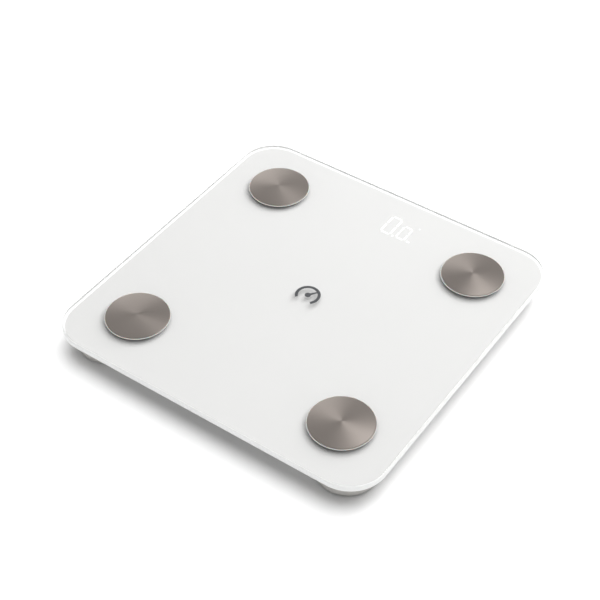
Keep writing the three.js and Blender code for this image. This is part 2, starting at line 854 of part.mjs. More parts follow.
function batteryLeadBlack() {
  const start = bayY - bayLength / 2 - bayWall - 1.8;
  const lane = bayWidth / 2 + bayWall + 4;
  return lead([
    [batteryPitch, start, tailZ],
    [batteryPitch, start - 5, leadOnFloor],
    [lane, start - 5, leadOnFloor],
    [lane, boardFront - leadRun - 1, leadOnFloor],
    ...frontEnd(lane - 4),
  ]);
}

piece('battery_lead_red', batteryLeadRed(), redSleeve);
piece('battery_lead_black', batteryLeadBlack(), blackSleeve);
piece('battery_door', batteryDoor(), whiteAbs);

// Unit button in the tray's floor, under its switch on the board
function unitButton() {
  const flangeTop = trayFloorTop + buttonFlangeHeight;
  const tip = trayBottom - buttonProud;
  return turned([
    [0, tip],
    [buttonRadius - 0.4, tip],
    [buttonRadius, tip + 0.4],
    [buttonRadius, trayFloorTop],
    [buttonRadius + buttonFlange, trayFloorTop],
    [buttonRadius + buttonFlange, flangeTop],
    [0, flangeTop],
  ], 16);
}

function unitSwitch() {
  const bottom = boardBottom - switchHeight;
  const body = box(switchSize, switchSize, bottom, boardBottom);
  return build([body], [disc(plungerRadius + buttonGap, bottom - 1, boardBottom - switchRoof, 0, 0, 12)]);
}

function switchPlunger() {
  const bottom = trayFloorTop + buttonFlangeHeight;
  const top = boardBottom - switchRoof - buttonTravel - plungerGap;
  return disc(plungerRadius, bottom, top, 0, 0, 12);
}

for (const [name, geometry, finish] of [
  ['unit_button', unitButton(), buttonGrey],
  ['unit_switch', unitSwitch(), chipBlack],
  ['unit_switch_plunger', switchPlunger(), nylon],
]) {
  piece(name, geometry, finish).position.set(buttonX, buttonY, 0);
}

export default scale;
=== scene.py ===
import math

import bmesh
import bpy
from mathutils import Matrix, Vector


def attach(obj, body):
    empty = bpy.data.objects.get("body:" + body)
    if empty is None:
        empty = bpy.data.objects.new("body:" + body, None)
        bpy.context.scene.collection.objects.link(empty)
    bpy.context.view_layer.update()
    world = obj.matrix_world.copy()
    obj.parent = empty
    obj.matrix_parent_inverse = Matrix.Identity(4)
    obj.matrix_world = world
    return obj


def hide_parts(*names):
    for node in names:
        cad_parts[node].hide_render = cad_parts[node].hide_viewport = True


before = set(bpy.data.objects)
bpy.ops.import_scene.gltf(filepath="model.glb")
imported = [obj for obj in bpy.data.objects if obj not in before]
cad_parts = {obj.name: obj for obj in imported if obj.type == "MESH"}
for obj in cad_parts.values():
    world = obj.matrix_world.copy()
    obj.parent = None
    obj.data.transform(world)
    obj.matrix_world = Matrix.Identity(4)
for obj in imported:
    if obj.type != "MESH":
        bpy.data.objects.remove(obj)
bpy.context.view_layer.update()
MM = 0.001


# The studio: matt paper underfoot, two soft lamps high behind the display edge, two strips of light for the
# steel, and a pale tent all round that glass and steel mirror. The paper is lit until it is all but white.
def linear(code):
    """An sRGB hex colour as the linear one that a socket takes."""
    channels = [int(code[n:n + 2], 16) / 255 for n in (1, 3, 5)]
    return [c / 12.92 if c <= 0.04045 else ((c + 0.055) / 1.055) ** 2.4 for c in channels] + [1.0]


def add(tree, kind, inputs=None, **settings):
    """Adds a node with its settings; an input is a value or another node's output."""
    node = tree.nodes.new(kind)
    for name, value in settings.items():
        setattr(node, name, value)
    for name, value in (inputs or {}).items():
        if isinstance(value, bpy.types.NodeSocket):
            tree.links.new(value, node.inputs[name])
        else:
            node.inputs[name].default_value = value
    return node


def material(name):
    """An empty material of that name, and its node tree."""
    made = bpy.data.materials.new(name)
    made.use_nodes = True
    made.node_tree.nodes.clear()
    return made, made.node_tree


# Uncoated paper: pressed fibre, dead matt, with a cloudiness a few centimetres wide.
paper, tree = material("uncoated_white_paper")
place = add(tree, "ShaderNodeTexCoord").outputs["Object"]
cloud = add(tree, "ShaderNodeTexNoise", {"Vector": place, "Scale": 1 / (40 * MM), "Detail": 3.0})
tone = add(tree, "ShaderNodeMix", {
    "Factor": cloud.outputs["Fac"], "A": linear("#f3f3f3"), "B": linear("#f6f6f6"),
}, data_type="RGBA")
shader = add(tree, "ShaderNodeBsdfPrincipled", {
    "Base Color": tone.outputs["Result"], "Roughness": 0.95, "Specular IOR Level": 0.1,
})
add(tree, "ShaderNodeOutputMaterial", {"Surface": shader.outputs[0]})

FLOOR_RADIUS = 30.0
floor_mesh = bmesh.new()
bmesh.ops.create_circle(floor_mesh, cap_ends=True, segments=96, radius=FLOOR_RADIUS)
floor_data = bpy.data.meshes.new("paper_floor")
floor_mesh.to_mesh(floor_data)
floor_mesh.free()
floor = bpy.data.objects.new("paper_floor", floor_data)
floor.location.z = -0.05 * MM
floor.data.materials.append(paper)
bpy.context.scene.collection.objects.link(floor)


def lamp(name, kind, way, energy, mirrored):
    """A lamp that shines from there on the scale's middle, and shows only in gloss or only on matt."""
    light = bpy.data.objects.new(name, bpy.data.lights.new(name, kind))
    light.data.energy = energy
    light.rotation_euler = Vector(way).to_track_quat("Z", "Y").to_euler()
    light.visible_glossy = mirrored
    light.visible_diffuse = not mirrored
    light.visible_transmission = not mirrored
    bpy.context.scene.collection.objects.link(light)
    return light


def far_lamp(name, way, energy, spread, mirrored):
    """A soft lamp so far off that it lights all of the scale alike; its spread is in degrees."""
    lamp(name, "SUN", way, energy, mirrored).data.angle = math.radians(spread)


def near_lamp(name, place, size, energy, mirrored):
    """A square soft box over the scale, whose light falls off across it."""
    light = lamp(name, "AREA", place, energy, mirrored)
    light.data.size = size
    light.location = place


far_lamp("soft_box", (0.03, 0.31, 0.94), 3.15, 62, False)
far_lamp("low_strip", (-0.66, 0.68, 0.315), 0.27, 30, True)
near_lamp("near_box", (0.08, 0.54, 0.5), 0.5, 2.0, False)
near_lamp("high_strip", (0.12, 0.42, 0.85), 0.4, 1.0, True)

tent = bpy.data.worlds.new("pale_tent")
tent.use_nodes = True
tree = tent.node_tree
tree.nodes.clear()
seen = add(tree, "ShaderNodeLightPath").outputs["Is Camera Ray"]
way = add(tree, "ShaderNodeTexCoord").outputs["Generated"]
height = add(tree, "ShaderNodeSeparateXYZ", {"Vector": way}).outputs["Z"]
wall = add(tree, "ShaderNodeMapRange", {
    "Value": height, "From Min": 0.12, "From Max": 0.45, "To Min": 0.75, "To Max": 0.27,
}, interpolation_type="SMOOTHSTEP")
strength = add(tree, "ShaderNodeMapRange", {
    "Value": seen, "To Min": wall.outputs["Result"], "To Max": 1.0,
})
sky = add(tree, "ShaderNodeBackground", {
    "Color": linear("#ffffff"), "Strength": strength.outputs["Result"],
})
add(tree, "ShaderNodeOutputWorld", {"Surface": sky.outputs[0]})
bpy.context.scene.world = tent
bpy.context.scene.view_settings.view_transform = "Standard"

camera = bpy.data.objects.new("camera", bpy.data.cameras.new("camera"))
camera.data.lens = 84.14
camera.data.clip_start = 0.01
azimuth = math.radians(34.54)
elevation = math.radians(44.47)
back = Vector((
    math.sin(azimuth) * math.cos(elevation),
    -math.cos(azimuth) * math.cos(elevation),
    math.sin(elevation),
))
camera.location = Vector((-1.6, -7.3, 22.0)) * MM + back * 986.7 * MM
camera.rotation_mode = "QUATERNION"
roll = Matrix.Rotation(math.radians(0.31), 3, "Z").to_quaternion()
camera.rotation_quaternion = (-back).to_track_quat("-Z", "Y") @ roll
bpy.context.scene.collection.objects.link(camera)
bpy.context.scene.camera = camera


# The base tray: one injection moulding in white ABS, a shallow tub with a round pod at each corner
# and the battery bay hanging from its floor. Draft, small fillets and ejector marks come from the mould.
def made(name, mesh, at=(0.0, 0.0)):
    """The object of that name from a bmesh in millimetres, standing at a place in plan."""
    bmesh.ops.recalc_face_normals(mesh, faces=mesh.faces)
    bmesh.ops.scale(mesh, vec=(MM, MM, MM), verts=mesh.verts)
    data = bpy.data.meshes.new(name)
    mesh.to_mesh(data)
    mesh.free()
    piece = bpy.data.objects.new(name, data)
    bpy.context.scene.collection.objects.link(piece)
    piece.location = (at[0] * MM, at[1] * MM, 0.0)
    return piece


def filleted(points, steps=4):
    """The outline with each corner that names a radius rounded to it: (a, b) or (a, b, radius)."""
    outline = []
    for n, point in enumerate(points):
        here = Vector(point[:2])
        if len(point) == 2:
            outline.append(here)
            continue
        into = (Vector(points[n - 1][:2]) - here).normalized()
        out = (Vector(points[(n + 1) % len(points)][:2]) - here).normalized()
        half = into.angle(out) / 2
        centre = here + (into + out).normalized() * (point[2] / math.sin(half))
        start = here + into * (point[2] / math.tan(half)) - centre
        end = here + out * (point[2] / math.tan(half)) - centre
        for step in range(steps + 1):
            way = start.lerp(end, step / steps).normalized()
            outline.append(centre + way * point[2])
    return outline


def rounded(width, depth, radius, steps=12):
    """A rounded rectangle's outline, as a function of how far it is drawn in."""
    def outline(inset=0.0):
        r = max(radius - inset, 0.05)
        x = width / 2 - inset - r
        y = depth / 2 - inset - r
        ring = []
        for quarter, (sx, sy) in enumerate([(1, 1), (-1, 1), (-1, -1), (1, -1)]):
            for step in range(steps + 1):
                angle = (quarter + step / steps) * math.pi / 2
                ring.append((sx * x + r * math.cos(angle), sy * y + r * math.sin(angle)))
        return ring
    return outline


def lofted(name, outline, profile, at=(0.0, 0.0), hollow=False):
    """A solid of stacked rings, one for each (inset, height); hollow joins the last to the first."""
    mesh = bmesh.new()
    rings = [[mesh.verts.new((x, y, height)) for x, y in outline(inset)] for inset, height in profile]
    pairs = list(zip(rings, rings[1:]))
    if hollow:
        pairs.append((rings[-1], rings[0]))
    else:
        mesh.faces.new(rings[0])
        mesh.faces.new(rings[-1])
    for low, high in pairs:
        for n in range(len(low)):
            mesh.faces.new((low[n - 1], low[n], high[n], high[n - 1]))
    return made(name, mesh, at)


def prism(name, points, bottom, top, at=(0.0, 0.0)):
    """A straight solid over a plan outline."""
    return lofted(name, lambda inset: points, [(0, bottom), (0, top)], at)


def block(name, width, depth, bottom, top, at=(0.0, 0.0), edge=0.2):
    """A moulded or cut block with its upright and level edges eased."""
    profile = filleted([(width, bottom), (0, bottom, edge), (0, top, edge), (width, top)], 2)
    return lofted(name, rounded(width, depth, edge * 1.5, 3), profile[1:-1], at)


def turned(name, profile, at=(0.0, 0.0), sides=96):
    """A solid turned about an upright axis from (radius, height) pairs; it may close on itself."""
    mesh = bmesh.new()
    rings = []
    for radius, height in profile:
        count = sides if radius > 1e-6 else 1
        turns = [2 * math.pi * n / sides for n in range(count)]
        rings.append([mesh.verts.new((radius * math.cos(a), radius * math.sin(a), height)) for a in turns])
    if tuple(profile[0]) == tuple(profile[-1]):
        bmesh.ops.delete(mesh, geom=rings[-1], context="VERTS")
        rings[-1] = rings[0]
    for low, high in zip(rings, rings[1:]):
        for n in range(sides):
            corners = [ring[k % len(ring)] for ring, k in ((low, n), (low, n + 1), (high, n + 1), (high, n))]
            mesh.faces.new(list(dict.fromkeys(corners)))
    return made(name, mesh, at)


def settled(piece):
    """Writes the piece's modifiers into its mesh."""
    graph = bpy.context.evaluated_depsgraph_get()
    data = bpy.data.meshes.new_from_object(piece.evaluated_get(graph))
    piece.modifiers.clear()
    piece.data = data


def joined(piece, tools, operation="UNION"):
    """Joins tools onto the piece, or takes them out of it. They mustn't meet each other, and are used up."""
    whole = bmesh.new()
    for tool in tools:
        tool.data.transform(tool.matrix_basis)
        whole.from_mesh(tool.data)
        bpy.data.objects.remove(tool)
    used = bpy.data.objects.new("tool", bpy.data.meshes.new("tool"))
    whole.to_mesh(used.data)
    whole.free()
    bpy.context.scene.collection.objects.link(used)
    change = piece.modifiers.new("join", "BOOLEAN")
    change.object = used
    change.operation = operation
    change.solver = "EXACT"
    settled(piece)
    bpy.data.objects.remove(used)


def eased(piece, width, steps=2, over=40):
    """Rounds off the piece's sharp edges, and writes that into its mesh."""
    edge = piece.modifiers.new("edge", "BEVEL")
    edge.width = width * MM
    edge.segments = steps
    edge.limit_method = "ANGLE"
    edge.angle_limit = math.radians(over)
    settled(piece)


def welded(piece):
    """Closes the hair gaps that cutting leaves between a mesh's points."""
    mesh = bmesh.new()
    mesh.from_mesh(piece.data)
    bmesh.ops.remove_doubles(mesh, verts=mesh.verts, dist=0.003 * MM)
    bmesh.ops.dissolve_degenerate(mesh, edges=mesh.edges, dist=0.001 * MM)
    mesh.to_mesh(piece.data)
    mesh.free()


def smooth(piece, over=32):
    """Smooth shading up to the sharp edges, with flat faces kept flat."""
    piece.data.shade_smooth()
    piece.data.set_sharp_from_angle(angle=math.radians(over))
    normals = piece.modifiers.new("flats", "WEIGHTED_NORMAL")
    normals.keep_sharp = True


def placed(piece, finish, body, slot, *stands_for):
    """Gives a finished piece its material and body, and hides the CAD nodes it stands for; the slot is not
    used.
    """
    piece.data.materials.clear()
    piece.data.materials.append(finish)
    welded(piece)
    smooth(piece)
    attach(piece, body)
    if stands_for:
        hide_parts(*stands_for)
    return piece


def surfaced(tree, colours, clouds, grain, roughness, relief, sockets):
    """Ends a material: clouds mix its two colours, and a grain roughens it between two values and
    stands up from it, by a strength and a height in millimetres."""
    tone = add(tree, "ShaderNodeMix", {
        "Factor": clouds, "A": linear(colours[0]), "B": linear(colours[1]),
    }, data_type="RGBA")
    rough = add(tree, "ShaderNodeMapRange", {
        "Value": grain, "To Min": roughness[0], "To Max": roughness[1],
    })
    bump = add(tree, "ShaderNodeBump", {
        "Height": grain, "Strength": relief[0], "Distance": relief[1] * MM,
    })
    shader = add(tree, "ShaderNodeBsdfPrincipled", {
        "Base Color": tone.outputs["Result"], "Roughness": rough.outputs["Result"],
        "Normal": bump.outputs["Normal"], **sockets,
    })
    add(tree, "ShaderNodeOutputMaterial", {"Surface": shader.outputs[0]})


def moulded(name, colour, shade, roughness, grain):
    """An injection moulding: spark-eroded grain of that size in millimetres, and cloudy flow colour."""
    made_of, tree = material(name)
    place = add(tree, "ShaderNodeTexCoord").outputs["Object"]
    flow = add(tree, "ShaderNodeTexNoise", {"Vector": place, "Scale": 1 / (25 * MM), "Detail": 4.0})
    pits = add(tree, "ShaderNodeTexNoise", {
        "Vector": place, "Scale": 1 / (grain * MM), "Detail": 3.0, "Roughness": 0.6,
    })
    surfaced(tree, (colour, shade), flow.outputs["Fac"], pits.outputs["Fac"],
             (roughness - 0.07, roughness + 0.07), (0.35, 0.02), {"IOR": 1.54})
    return made_of


# White ABS, grained by spark erosion: a soft even sheen that hides scuffs.
white_abs = moulded("spark_grained_white_abs", "#ececea", "#e4e4e2", 0.5, 0.6)

CORNERS = {
    "front_left": (-1, -1), "front_right": (1, -1), "rear_left": (-1, 1), "rear_right": (1, 1),
}
FOOT_PLACE = 100.0
ELECTRODE_PLACE = 85.0
STUDS = {
    corner: (sx * ELECTRODE_PLACE, sy * ELECTRODE_PLACE) for corner, (sx, sy) in CORNERS.items()
}
TRAY_SIZE = 228
TRAY_CORNER = 12
POD_RADIUS = 24.0
WELL_RADIUS = 22.4
TRAY_BOTTOM = 8.0
TRAY_FLOOR = 10.0
TRAY_RIM = 16.2
POD_CEILING = 13.2
POCKET_FLOOR = 11.2
BAY = (0.0, 19.9)
BAY_SIZE = (33.8, 51.0)
BAY_BOTTOM = 2.4
BAY_TOP = 15.0
BOARD = (5.0, 85.0)
BOARD_SCREWS = [(BOARD[0] + x, BOARD[1] + y) for y in (-21, 21) for x in (-34, 34)]
PEGS = [(x, y) for x in (-11.5, 11.5) for y in (-11.5, 11.5)]
INNER_LANE = 72.0
OUTER_LANE = 90.7


def pod_turn(corner):
    """The turn that points a pod's own +X to the middle of the scale."""
    sx, sy = CORNERS[corner]
    return math.atan2(-sy, -sx)


def in_pod(piece, corner, x=0.0, y=0.0, turn=0.0):
    """Stands a piece in a pod, at a place in the pod's own frame."""
    sx, sy = CORNERS[corner]
    angle = pod_turn(corner)
    piece.location.x = (sx * FOOT_PLACE + x * math.cos(angle) - y * math.sin(angle)) * MM
    piece.location.y = (sy * FOOT_PLACE + x * math.sin(angle) + y * math.cos(angle)) * MM
    piece.rotation_euler.z = angle + turn
    return piece


tub_profile = filleted([
    (6.0, TRAY_BOTTOM), (0.3, TRAY_BOTTOM, 1.5), (0.0, TRAY_RIM, 0.15),
    (2.0, TRAY_RIM, 0.15), (2.2, TRAY_FLOOR, 0.8), (6.0, TRAY_FLOOR),
], 5)
tray = lofted("tray", rounded(TRAY_SIZE, TRAY_SIZE, TRAY_CORNER), tub_profile)
pod_profile = filleted([(0, 9.9), (POD_RADIUS, 9.9, 0.6), (POD_RADIUS, TRAY_RIM, 0.15), (0, TRAY_RIM)])
joined(tray, [in_pod(turned("pod", pod_profile), corner) for corner in CORNERS])
bay_profile = filleted([
    (6.0, BAY_BOTTOM), (0.0, BAY_BOTTOM, 0.7), (0.0, TRAY_RIM - 0.01), (6.0, TRAY_RIM - 0.01),
])
joined(tray, [lofted("bay", rounded(37.0, 54.2, 2.0, 6), bay_profile, BAY)])
joined(tray, [
    turned("boss", [(0, 9.5), (3.0, 9.5), (3.0, 12.6), (0, 12.6)], at, 32) for at in BOARD_SCREWS
])
joined(tray, [
    block("clip", 1.2, 5.0, 9.5, 12.2, (side * (lane + reach), y))
    for side in (-1, 1) for lane in (INNER_LANE, OUTER_LANE)
    for reach in (-1.45, 1.45) for y in (-42.5, 0.0, 28.33)
])
joined(tray, [
    in_pod(turned("well", [(0, 7), (WELL_RADIUS, 7), (WELL_RADIUS, POD_CEILING), (0, POD_CEILING)]), corner)
    for corner in CORNERS
], "DIFFERENCE")


def pocket(corner, bottom, top):
    """The room round an electrode's nut, open towards the middle of the tray."""
    angles = [math.pi * (0.5 + n / 16) for n in range(17)]
    points = [(6.5 * math.cos(a), 6.5 * math.sin(a)) for a in angles] + [(24.0, -6.5), (24.0, 6.5)]
    reach = (FOOT_PLACE - ELECTRODE_PLACE) * math.sqrt(2)
    return in_pod(prism("pocket", points, bottom, top), corner, reach)


joined(tray, [pocket(corner, POCKET_FLOOR, 18) for corner in CORNERS], "DIFFERENCE")
notches = []
for corner, (sx, sy) in CORNERS.items():
    turn = -sx * math.radians(27)
    notch = prism("notch", [(-2.8, -1.3), (2.8, -1.3), (2.8, 1.3), (-2.8, 1.3)], POCKET_FLOOR, 18)
    notches.append(in_pod(notch, corner, 23.2 * math.cos(turn), 23.2 * math.sin(turn), turn))
joined(tray, notches, "DIFFERENCE")
joined(tray, [
    turned("bore", [(0, 10.2), (1.3, 10.2), (1.3, 14), (0, 14)], at, 24) for at in BOARD_SCREWS
], "DIFFERENCE")
joined(tray, [block("bay_room", *BAY_SIZE, 1, BAY_TOP, BAY, 0.5)], "DIFFERENCE")
BAY_REAR = BAY[1] + BAY_SIZE[1] / 2
BAY_FRONT = BAY[1] - BAY_SIZE[1] / 2
joined(tray, [
    block("tab_slot", 6.8, 1.4, 2.9, 5.3, (x, BAY_FRONT - 0.6), 0.1) for x in (-9, 9)
] + [
    block("latch_slot", 11.5, 3.6, 1, 4.6, (0, BAY_REAR + 0.8), 0.1),
    block("tail_slot", 4, 2.6, 11.2, 12.8, (-11, BAY_REAR + 0.8), 0.1),
    block("tail_slot", 4, 2.6, 11.2, 12.8, (11, BAY_FRONT - 0.8), 0.1),
], "DIFFERENCE")
# Ribs that keep the cells apart
joined(tray, [block("cell_rib", 0.8, 48, 12.2, BAY_TOP + 0.3, (x, BAY[1]), 0.2) for x in (-5.5, 5.5)])
BUTTON = (30.0, 66.0)
joined(tray, [
    turned("button_hole", filleted([(0, 7), (4.2, 7), (3.3, 8.5), (3.3, 11), (0, 11)]), BUTTON, 48),
    lofted("groove", rounded(196, 196, 22), [(0, 7), (0, 8.4), (1.6, 8.4), (1.6, 7)], hollow=True),
    block("rating_panel", 64, 26, 7, 8.3, (0, -62), 1.5),
] + [
    turned("ejector", [(0, 7), (3, 7), (3, 8.12), (0, 8.12)], at, 32)
    for at in [(-60, 66), (68, 66), (-60, 0), (60, 0), (-60, -66), (60, -66), (0, 78), (0, -34)]
], "DIFFERENCE")
joined(tray, [
    in_pod(turned("standoff", [(0, 10.6), (2.5, 10.6), (2.5, 13.7), (0, 13.7)], sides=32), corner, x, y)
    for corner in CORNERS for x, y in PEGS
])
joined(tray, [
    in_pod(turned("peg", [(0, 6.9), (0.9, 6.9), (1.2, 7.3), (1.2, 11.1), (0, 11.1)], sides=24), corner, x, y)
    for corner in CORNERS for x, y in PEGS
])
placed(tray, white_abs, "base", "white_abs", "base_tray")


# Load cells: a punched and nickel-plated steel E in each pod, its tongue in the middle with the strain gauge
# under a bead of potting, and a nylon retainer heat-staked below it.
def plated(name, colour, shade, roughness):
    """Nickel plate on pressed steel: a soft even mirror over the rolling marks of the strip."""
    made_of, tree = material(name)
    place = add(tree, "ShaderNodeTexCoord").outputs["Object"]
    drawn = add(tree, "ShaderNodeMapping", {"Vector": place, "Scale": (1.0, 0.04, 1.0)})
    marks = add(tree, "ShaderNodeTexNoise", {
        "Vector": drawn.outputs[0], "Scale": 1 / (0.2 * MM), "Detail": 3.0,
    })
    surfaced(tree, (colour, shade), marks.outputs["Fac"], marks.outputs["Fac"],
             (roughness - 0.06, roughness + 0.06), (0.15, 0.01), {"Metallic": 1.0})
    return made_of


nickel_plate = plated("nickel_plated_steel_strip", "#b9bbbd", "#cfd1d2", 0.3)
nylon = moulded("moulded_natural_nylon", "#dad9cb", "#d1d0c1", 0.45, 0.9)
potting = moulded("white_silicone_potting", "#e9e9e4", "#dfdfda", 0.35, 2.0)

CELL_BOTTOM = 8.6
CELL_TOP = 10.6
for corner in CORNERS:
    cell = lofted("load_cell." + corner, rounded(30, 30, 5, 8), filleted([
        (2, CELL_BOTTOM), (0, CELL_BOTTOM, 0.2), (0, CELL_TOP, 0.2), (2, CELL_TOP),
    ], 2))
    joined(cell, [block("window", 20, 20, CELL_BOTTOM - 1, CELL_TOP + 1, edge=0.6)], "DIFFERENCE")
    joined(cell, [block("tongue", 16, 9, CELL_BOTTOM + 0.01, CELL_TOP - 0.01, (-3, 0), 0.2)])
    hole = [(0, CELL_BOTTOM - 1), (1.5, CELL_BOTTOM - 1), (1.5, CELL_TOP + 1), (0, CELL_TOP + 1)]
    joined(cell, [turned("hole", hole, peg, 24) for peg in PEGS], "DIFFERENCE")
    joined(cell, [block("bead", 6, 6, CELL_TOP - 0.5, CELL_TOP + 1.8, (-5, 0), 0.9)])
    eased(cell, 0.12)
    in_pod(cell, corner)
    placed(cell, nickel_plate, "base", "plated_steel", "load_cell_" + corner)
    cell.data.materials.append(potting)
    for face in cell.data.polygons:
        bead = (face.center + Vector((5 * MM, 0, 0))).xy.length < 4.5 * MM
        face.material_index = 1 if bead and face.center.z > (CELL_TOP + 0.02) * MM else 0
    retainer = turned("load_cell_retainer." + corner, filleted([
        (14, 7.4), (20, 7.4, 0.3), (20, CELL_BOTTOM, 0.2), (8, CELL_BOTTOM, 0.2), (8, 7.4, 0.3), (14, 7.4),
    ], 3))
    joined(retainer, [
        turned("hole", [(0, 6), (1.5, 6), (1.5, 9), (0, 9)], peg, 24) for peg in PEGS
    ], "DIFFERENCE")
    in_pod(retainer, corner)
    placed(retainer, nylon, "base", "nylon", "load_cell_retainer_" + corner)


# Feet: a cup moulded in pale grey ABS slides in each pod, with its load cell's bump inside and three tabs
# that hang it on the retainer. The pad under it is pressed rubber with grip rings, glued into the cup's rim.
foot_abs = moulded("spark_grained_grey_abs", "#c9c7c3", "#c2c0bc", 0.5, 0.6)

# Pressed rubber: dead matt, dusty with release powder, with a fine open grain.
foot_rubber, tree = material("pressed_grey_rubber")
place = add(tree, "ShaderNodeTexCoord").outputs["Object"]
dust = add(tree, "ShaderNodeTexNoise", {"Vector": place, "Scale": 1 / (4 * MM), "Detail": 5.0})
grain = add(tree, "ShaderNodeTexNoise", {"Vector": place, "Scale": 1 / (0.5 * MM), "Detail": 4.0})
surfaced(tree, ("#7d7a76", "#94918c"), dust.outputs["Fac"], grain.outputs["Fac"],
         (0.78, 0.92), (0.5, 0.05), {"IOR": 1.52, "Specular IOR Level": 0.3})

FOOT_RADIUS = 22.0
FOOT_BORE = 20.4
foot_profile = filleted([
    (0, 2.2), (21.0, 2.2), (21.0, 1.2, 0.15), (FOOT_RADIUS, 1.2, 0.3), (FOOT_RADIUS, 10.8, 0.3),
    (FOOT_BORE, 10.8, 0.3), (FOOT_BORE, 4.0, 0.6), (4.0, 4.0, 0.6), (4.0, 8.1, 0.5), (0, 8.1),
])
grip = []
for inner, outer in [(6.5, 9.0), (10.5, 13.0), (14.5, 17.0)]:
    grip += [(inner, 0.5), (inner, 0.0, 0.15), (outer, 0.0, 0.15), (outer, 0.5)]
pad_profile = filleted(
    [(0, 0), (5.0, 0.0, 0.15), (5.0, 0.5)] + grip
    + [(18.5, 0.5), (18.5, 0.0, 0.15), (20.1, 0.0, 0.3), (20.7, 0.6, 0.3), (20.7, 2.2), (0, 2.2)], 3,
)
for corner in CORNERS:
    foot = turned("foot." + corner, foot_profile)
    tabs = []
    for n in range(3):
        angle = n * math.tau / 3
        tab = block("tab", 1.7, 6.0, 8.6, 9.6)
        tab.location = (20.05 * MM * math.cos(angle), 20.05 * MM * math.sin(angle), 0)
        tab.rotation_euler.z = angle
        tabs.append(tab)
    bpy.context.view_layer.update()
    joined(foot, tabs)
    in_pod(foot, corner)
    placed(foot, foot_abs, "foot_body_" + corner, "foot_abs", "foot_" + corner)
    pad = in_pod(turned("foot_pad." + corner, pad_profile), corner)
    placed(pad, foot_rubber, "foot_body_" + corner, "foot_rubber", "foot_pad_" + corner)


# The main board: glass-fibre laminate with green solder mask over copper tracks, on four bosses, held by
# self-tapping screws. The display frame is soldered on top, the chips and the unit switch below.
solder_mask, tree = material("green_solder_mask")
place = add(tree, "ShaderNodeTexCoord").outputs["Object"]
# Tracks are 0.3 mm wide on the real board; they are drawn 0.7 mm wide so that they show.
tracks = add(tree, "ShaderNodeTexBrick", {
    "Vector": place, "Scale": 1 / (9 * MM), "Mortar Size": 0.04, "Mortar Smooth": 0.3,
    "Color1": linear("#1d5439"), "Color2": linear("#205b3e"), "Mortar": linear("#2f7a55"),
}, offset=0.37)
weave = add(tree, "ShaderNodeTexNoise", {"Vector": place, "Scale": 1 / (0.8 * MM), "Detail": 2.0})
rough = add(tree, "ShaderNodeMapRange", {
    "Value": weave.outputs["Fac"], "To Min": 0.25, "To Max": 0.4,
})
bump = add(tree, "ShaderNodeBump", {
    "Height": tracks.outputs["Fac"], "Strength": 0.3, "Distance": 0.03 * MM,
})
shader = add(tree, "ShaderNodeBsdfPrincipled", {
    "Base Color": tracks.outputs["Color"], "Roughness": rough.outputs["Result"],
    "Normal": bump.outputs["Normal"], "IOR": 1.5,
})
add(tree, "ShaderNodeOutputMaterial", {"Surface": shader.outputs[0]})
chip_resin = moulded("moulded_black_epoxy", "#1d1e20", "#26272a", 0.5, 0.4)
diffuser_film = moulded("milky_polycarbonate_film", "#eef1f3", "#e6eaee", 0.4, 1.0)

BOARD_BOTTOM = 12.6
BOARD_TOP = 13.8
board = lofted("main_board", rounded(76, 50, 2, 6), [
    (3, BOARD_BOTTOM), (0, BOARD_BOTTOM), (0, BOARD_TOP), (3, BOARD_TOP),
], BOARD)
joined(board, [
    turned("hole", [(0, 12), (1.3, 12), (1.3, 14), (0, 14)], at, 24) for at in BOARD_SCREWS
], "DIFFERENCE")
placed(board, solder_mask, "base", "board", "main_board")
DISPLAY = (5.0, 97.0)
housing = block("display_housing", 62, 26, BOARD_TOP, 16.0, DISPLAY, 0.3)
joined(housing, [block("room", 58, 22, BOARD_TOP + 0.8, 17, DISPLAY, 0.3)], "DIFFERENCE")
placed(housing, white_abs, "base", "white_abs", "display_housing")
film = block("display_diffuser", 62, 26, 16.0, 16.5, DISPLAY, 0.1)
placed(film, diffuser_film, "base", "diffuser", "display_diffuser")


def legs(width, depth, pitch, bottom, top, at):
    """Gull-wing legs along two sides of a chip, as separate small blocks."""
    count = int((depth - 1) / pitch)
    reach = width / 2 - 0.2
    rows = [at[1] + (n - (count - 1) / 2) * pitch for n in range(count)]
    return [
        block("leg", 1.2, 0.4, bottom, top, (at[0] + side * reach, y), 0.05)
        for side in (-1, 1) for y in rows
    ]


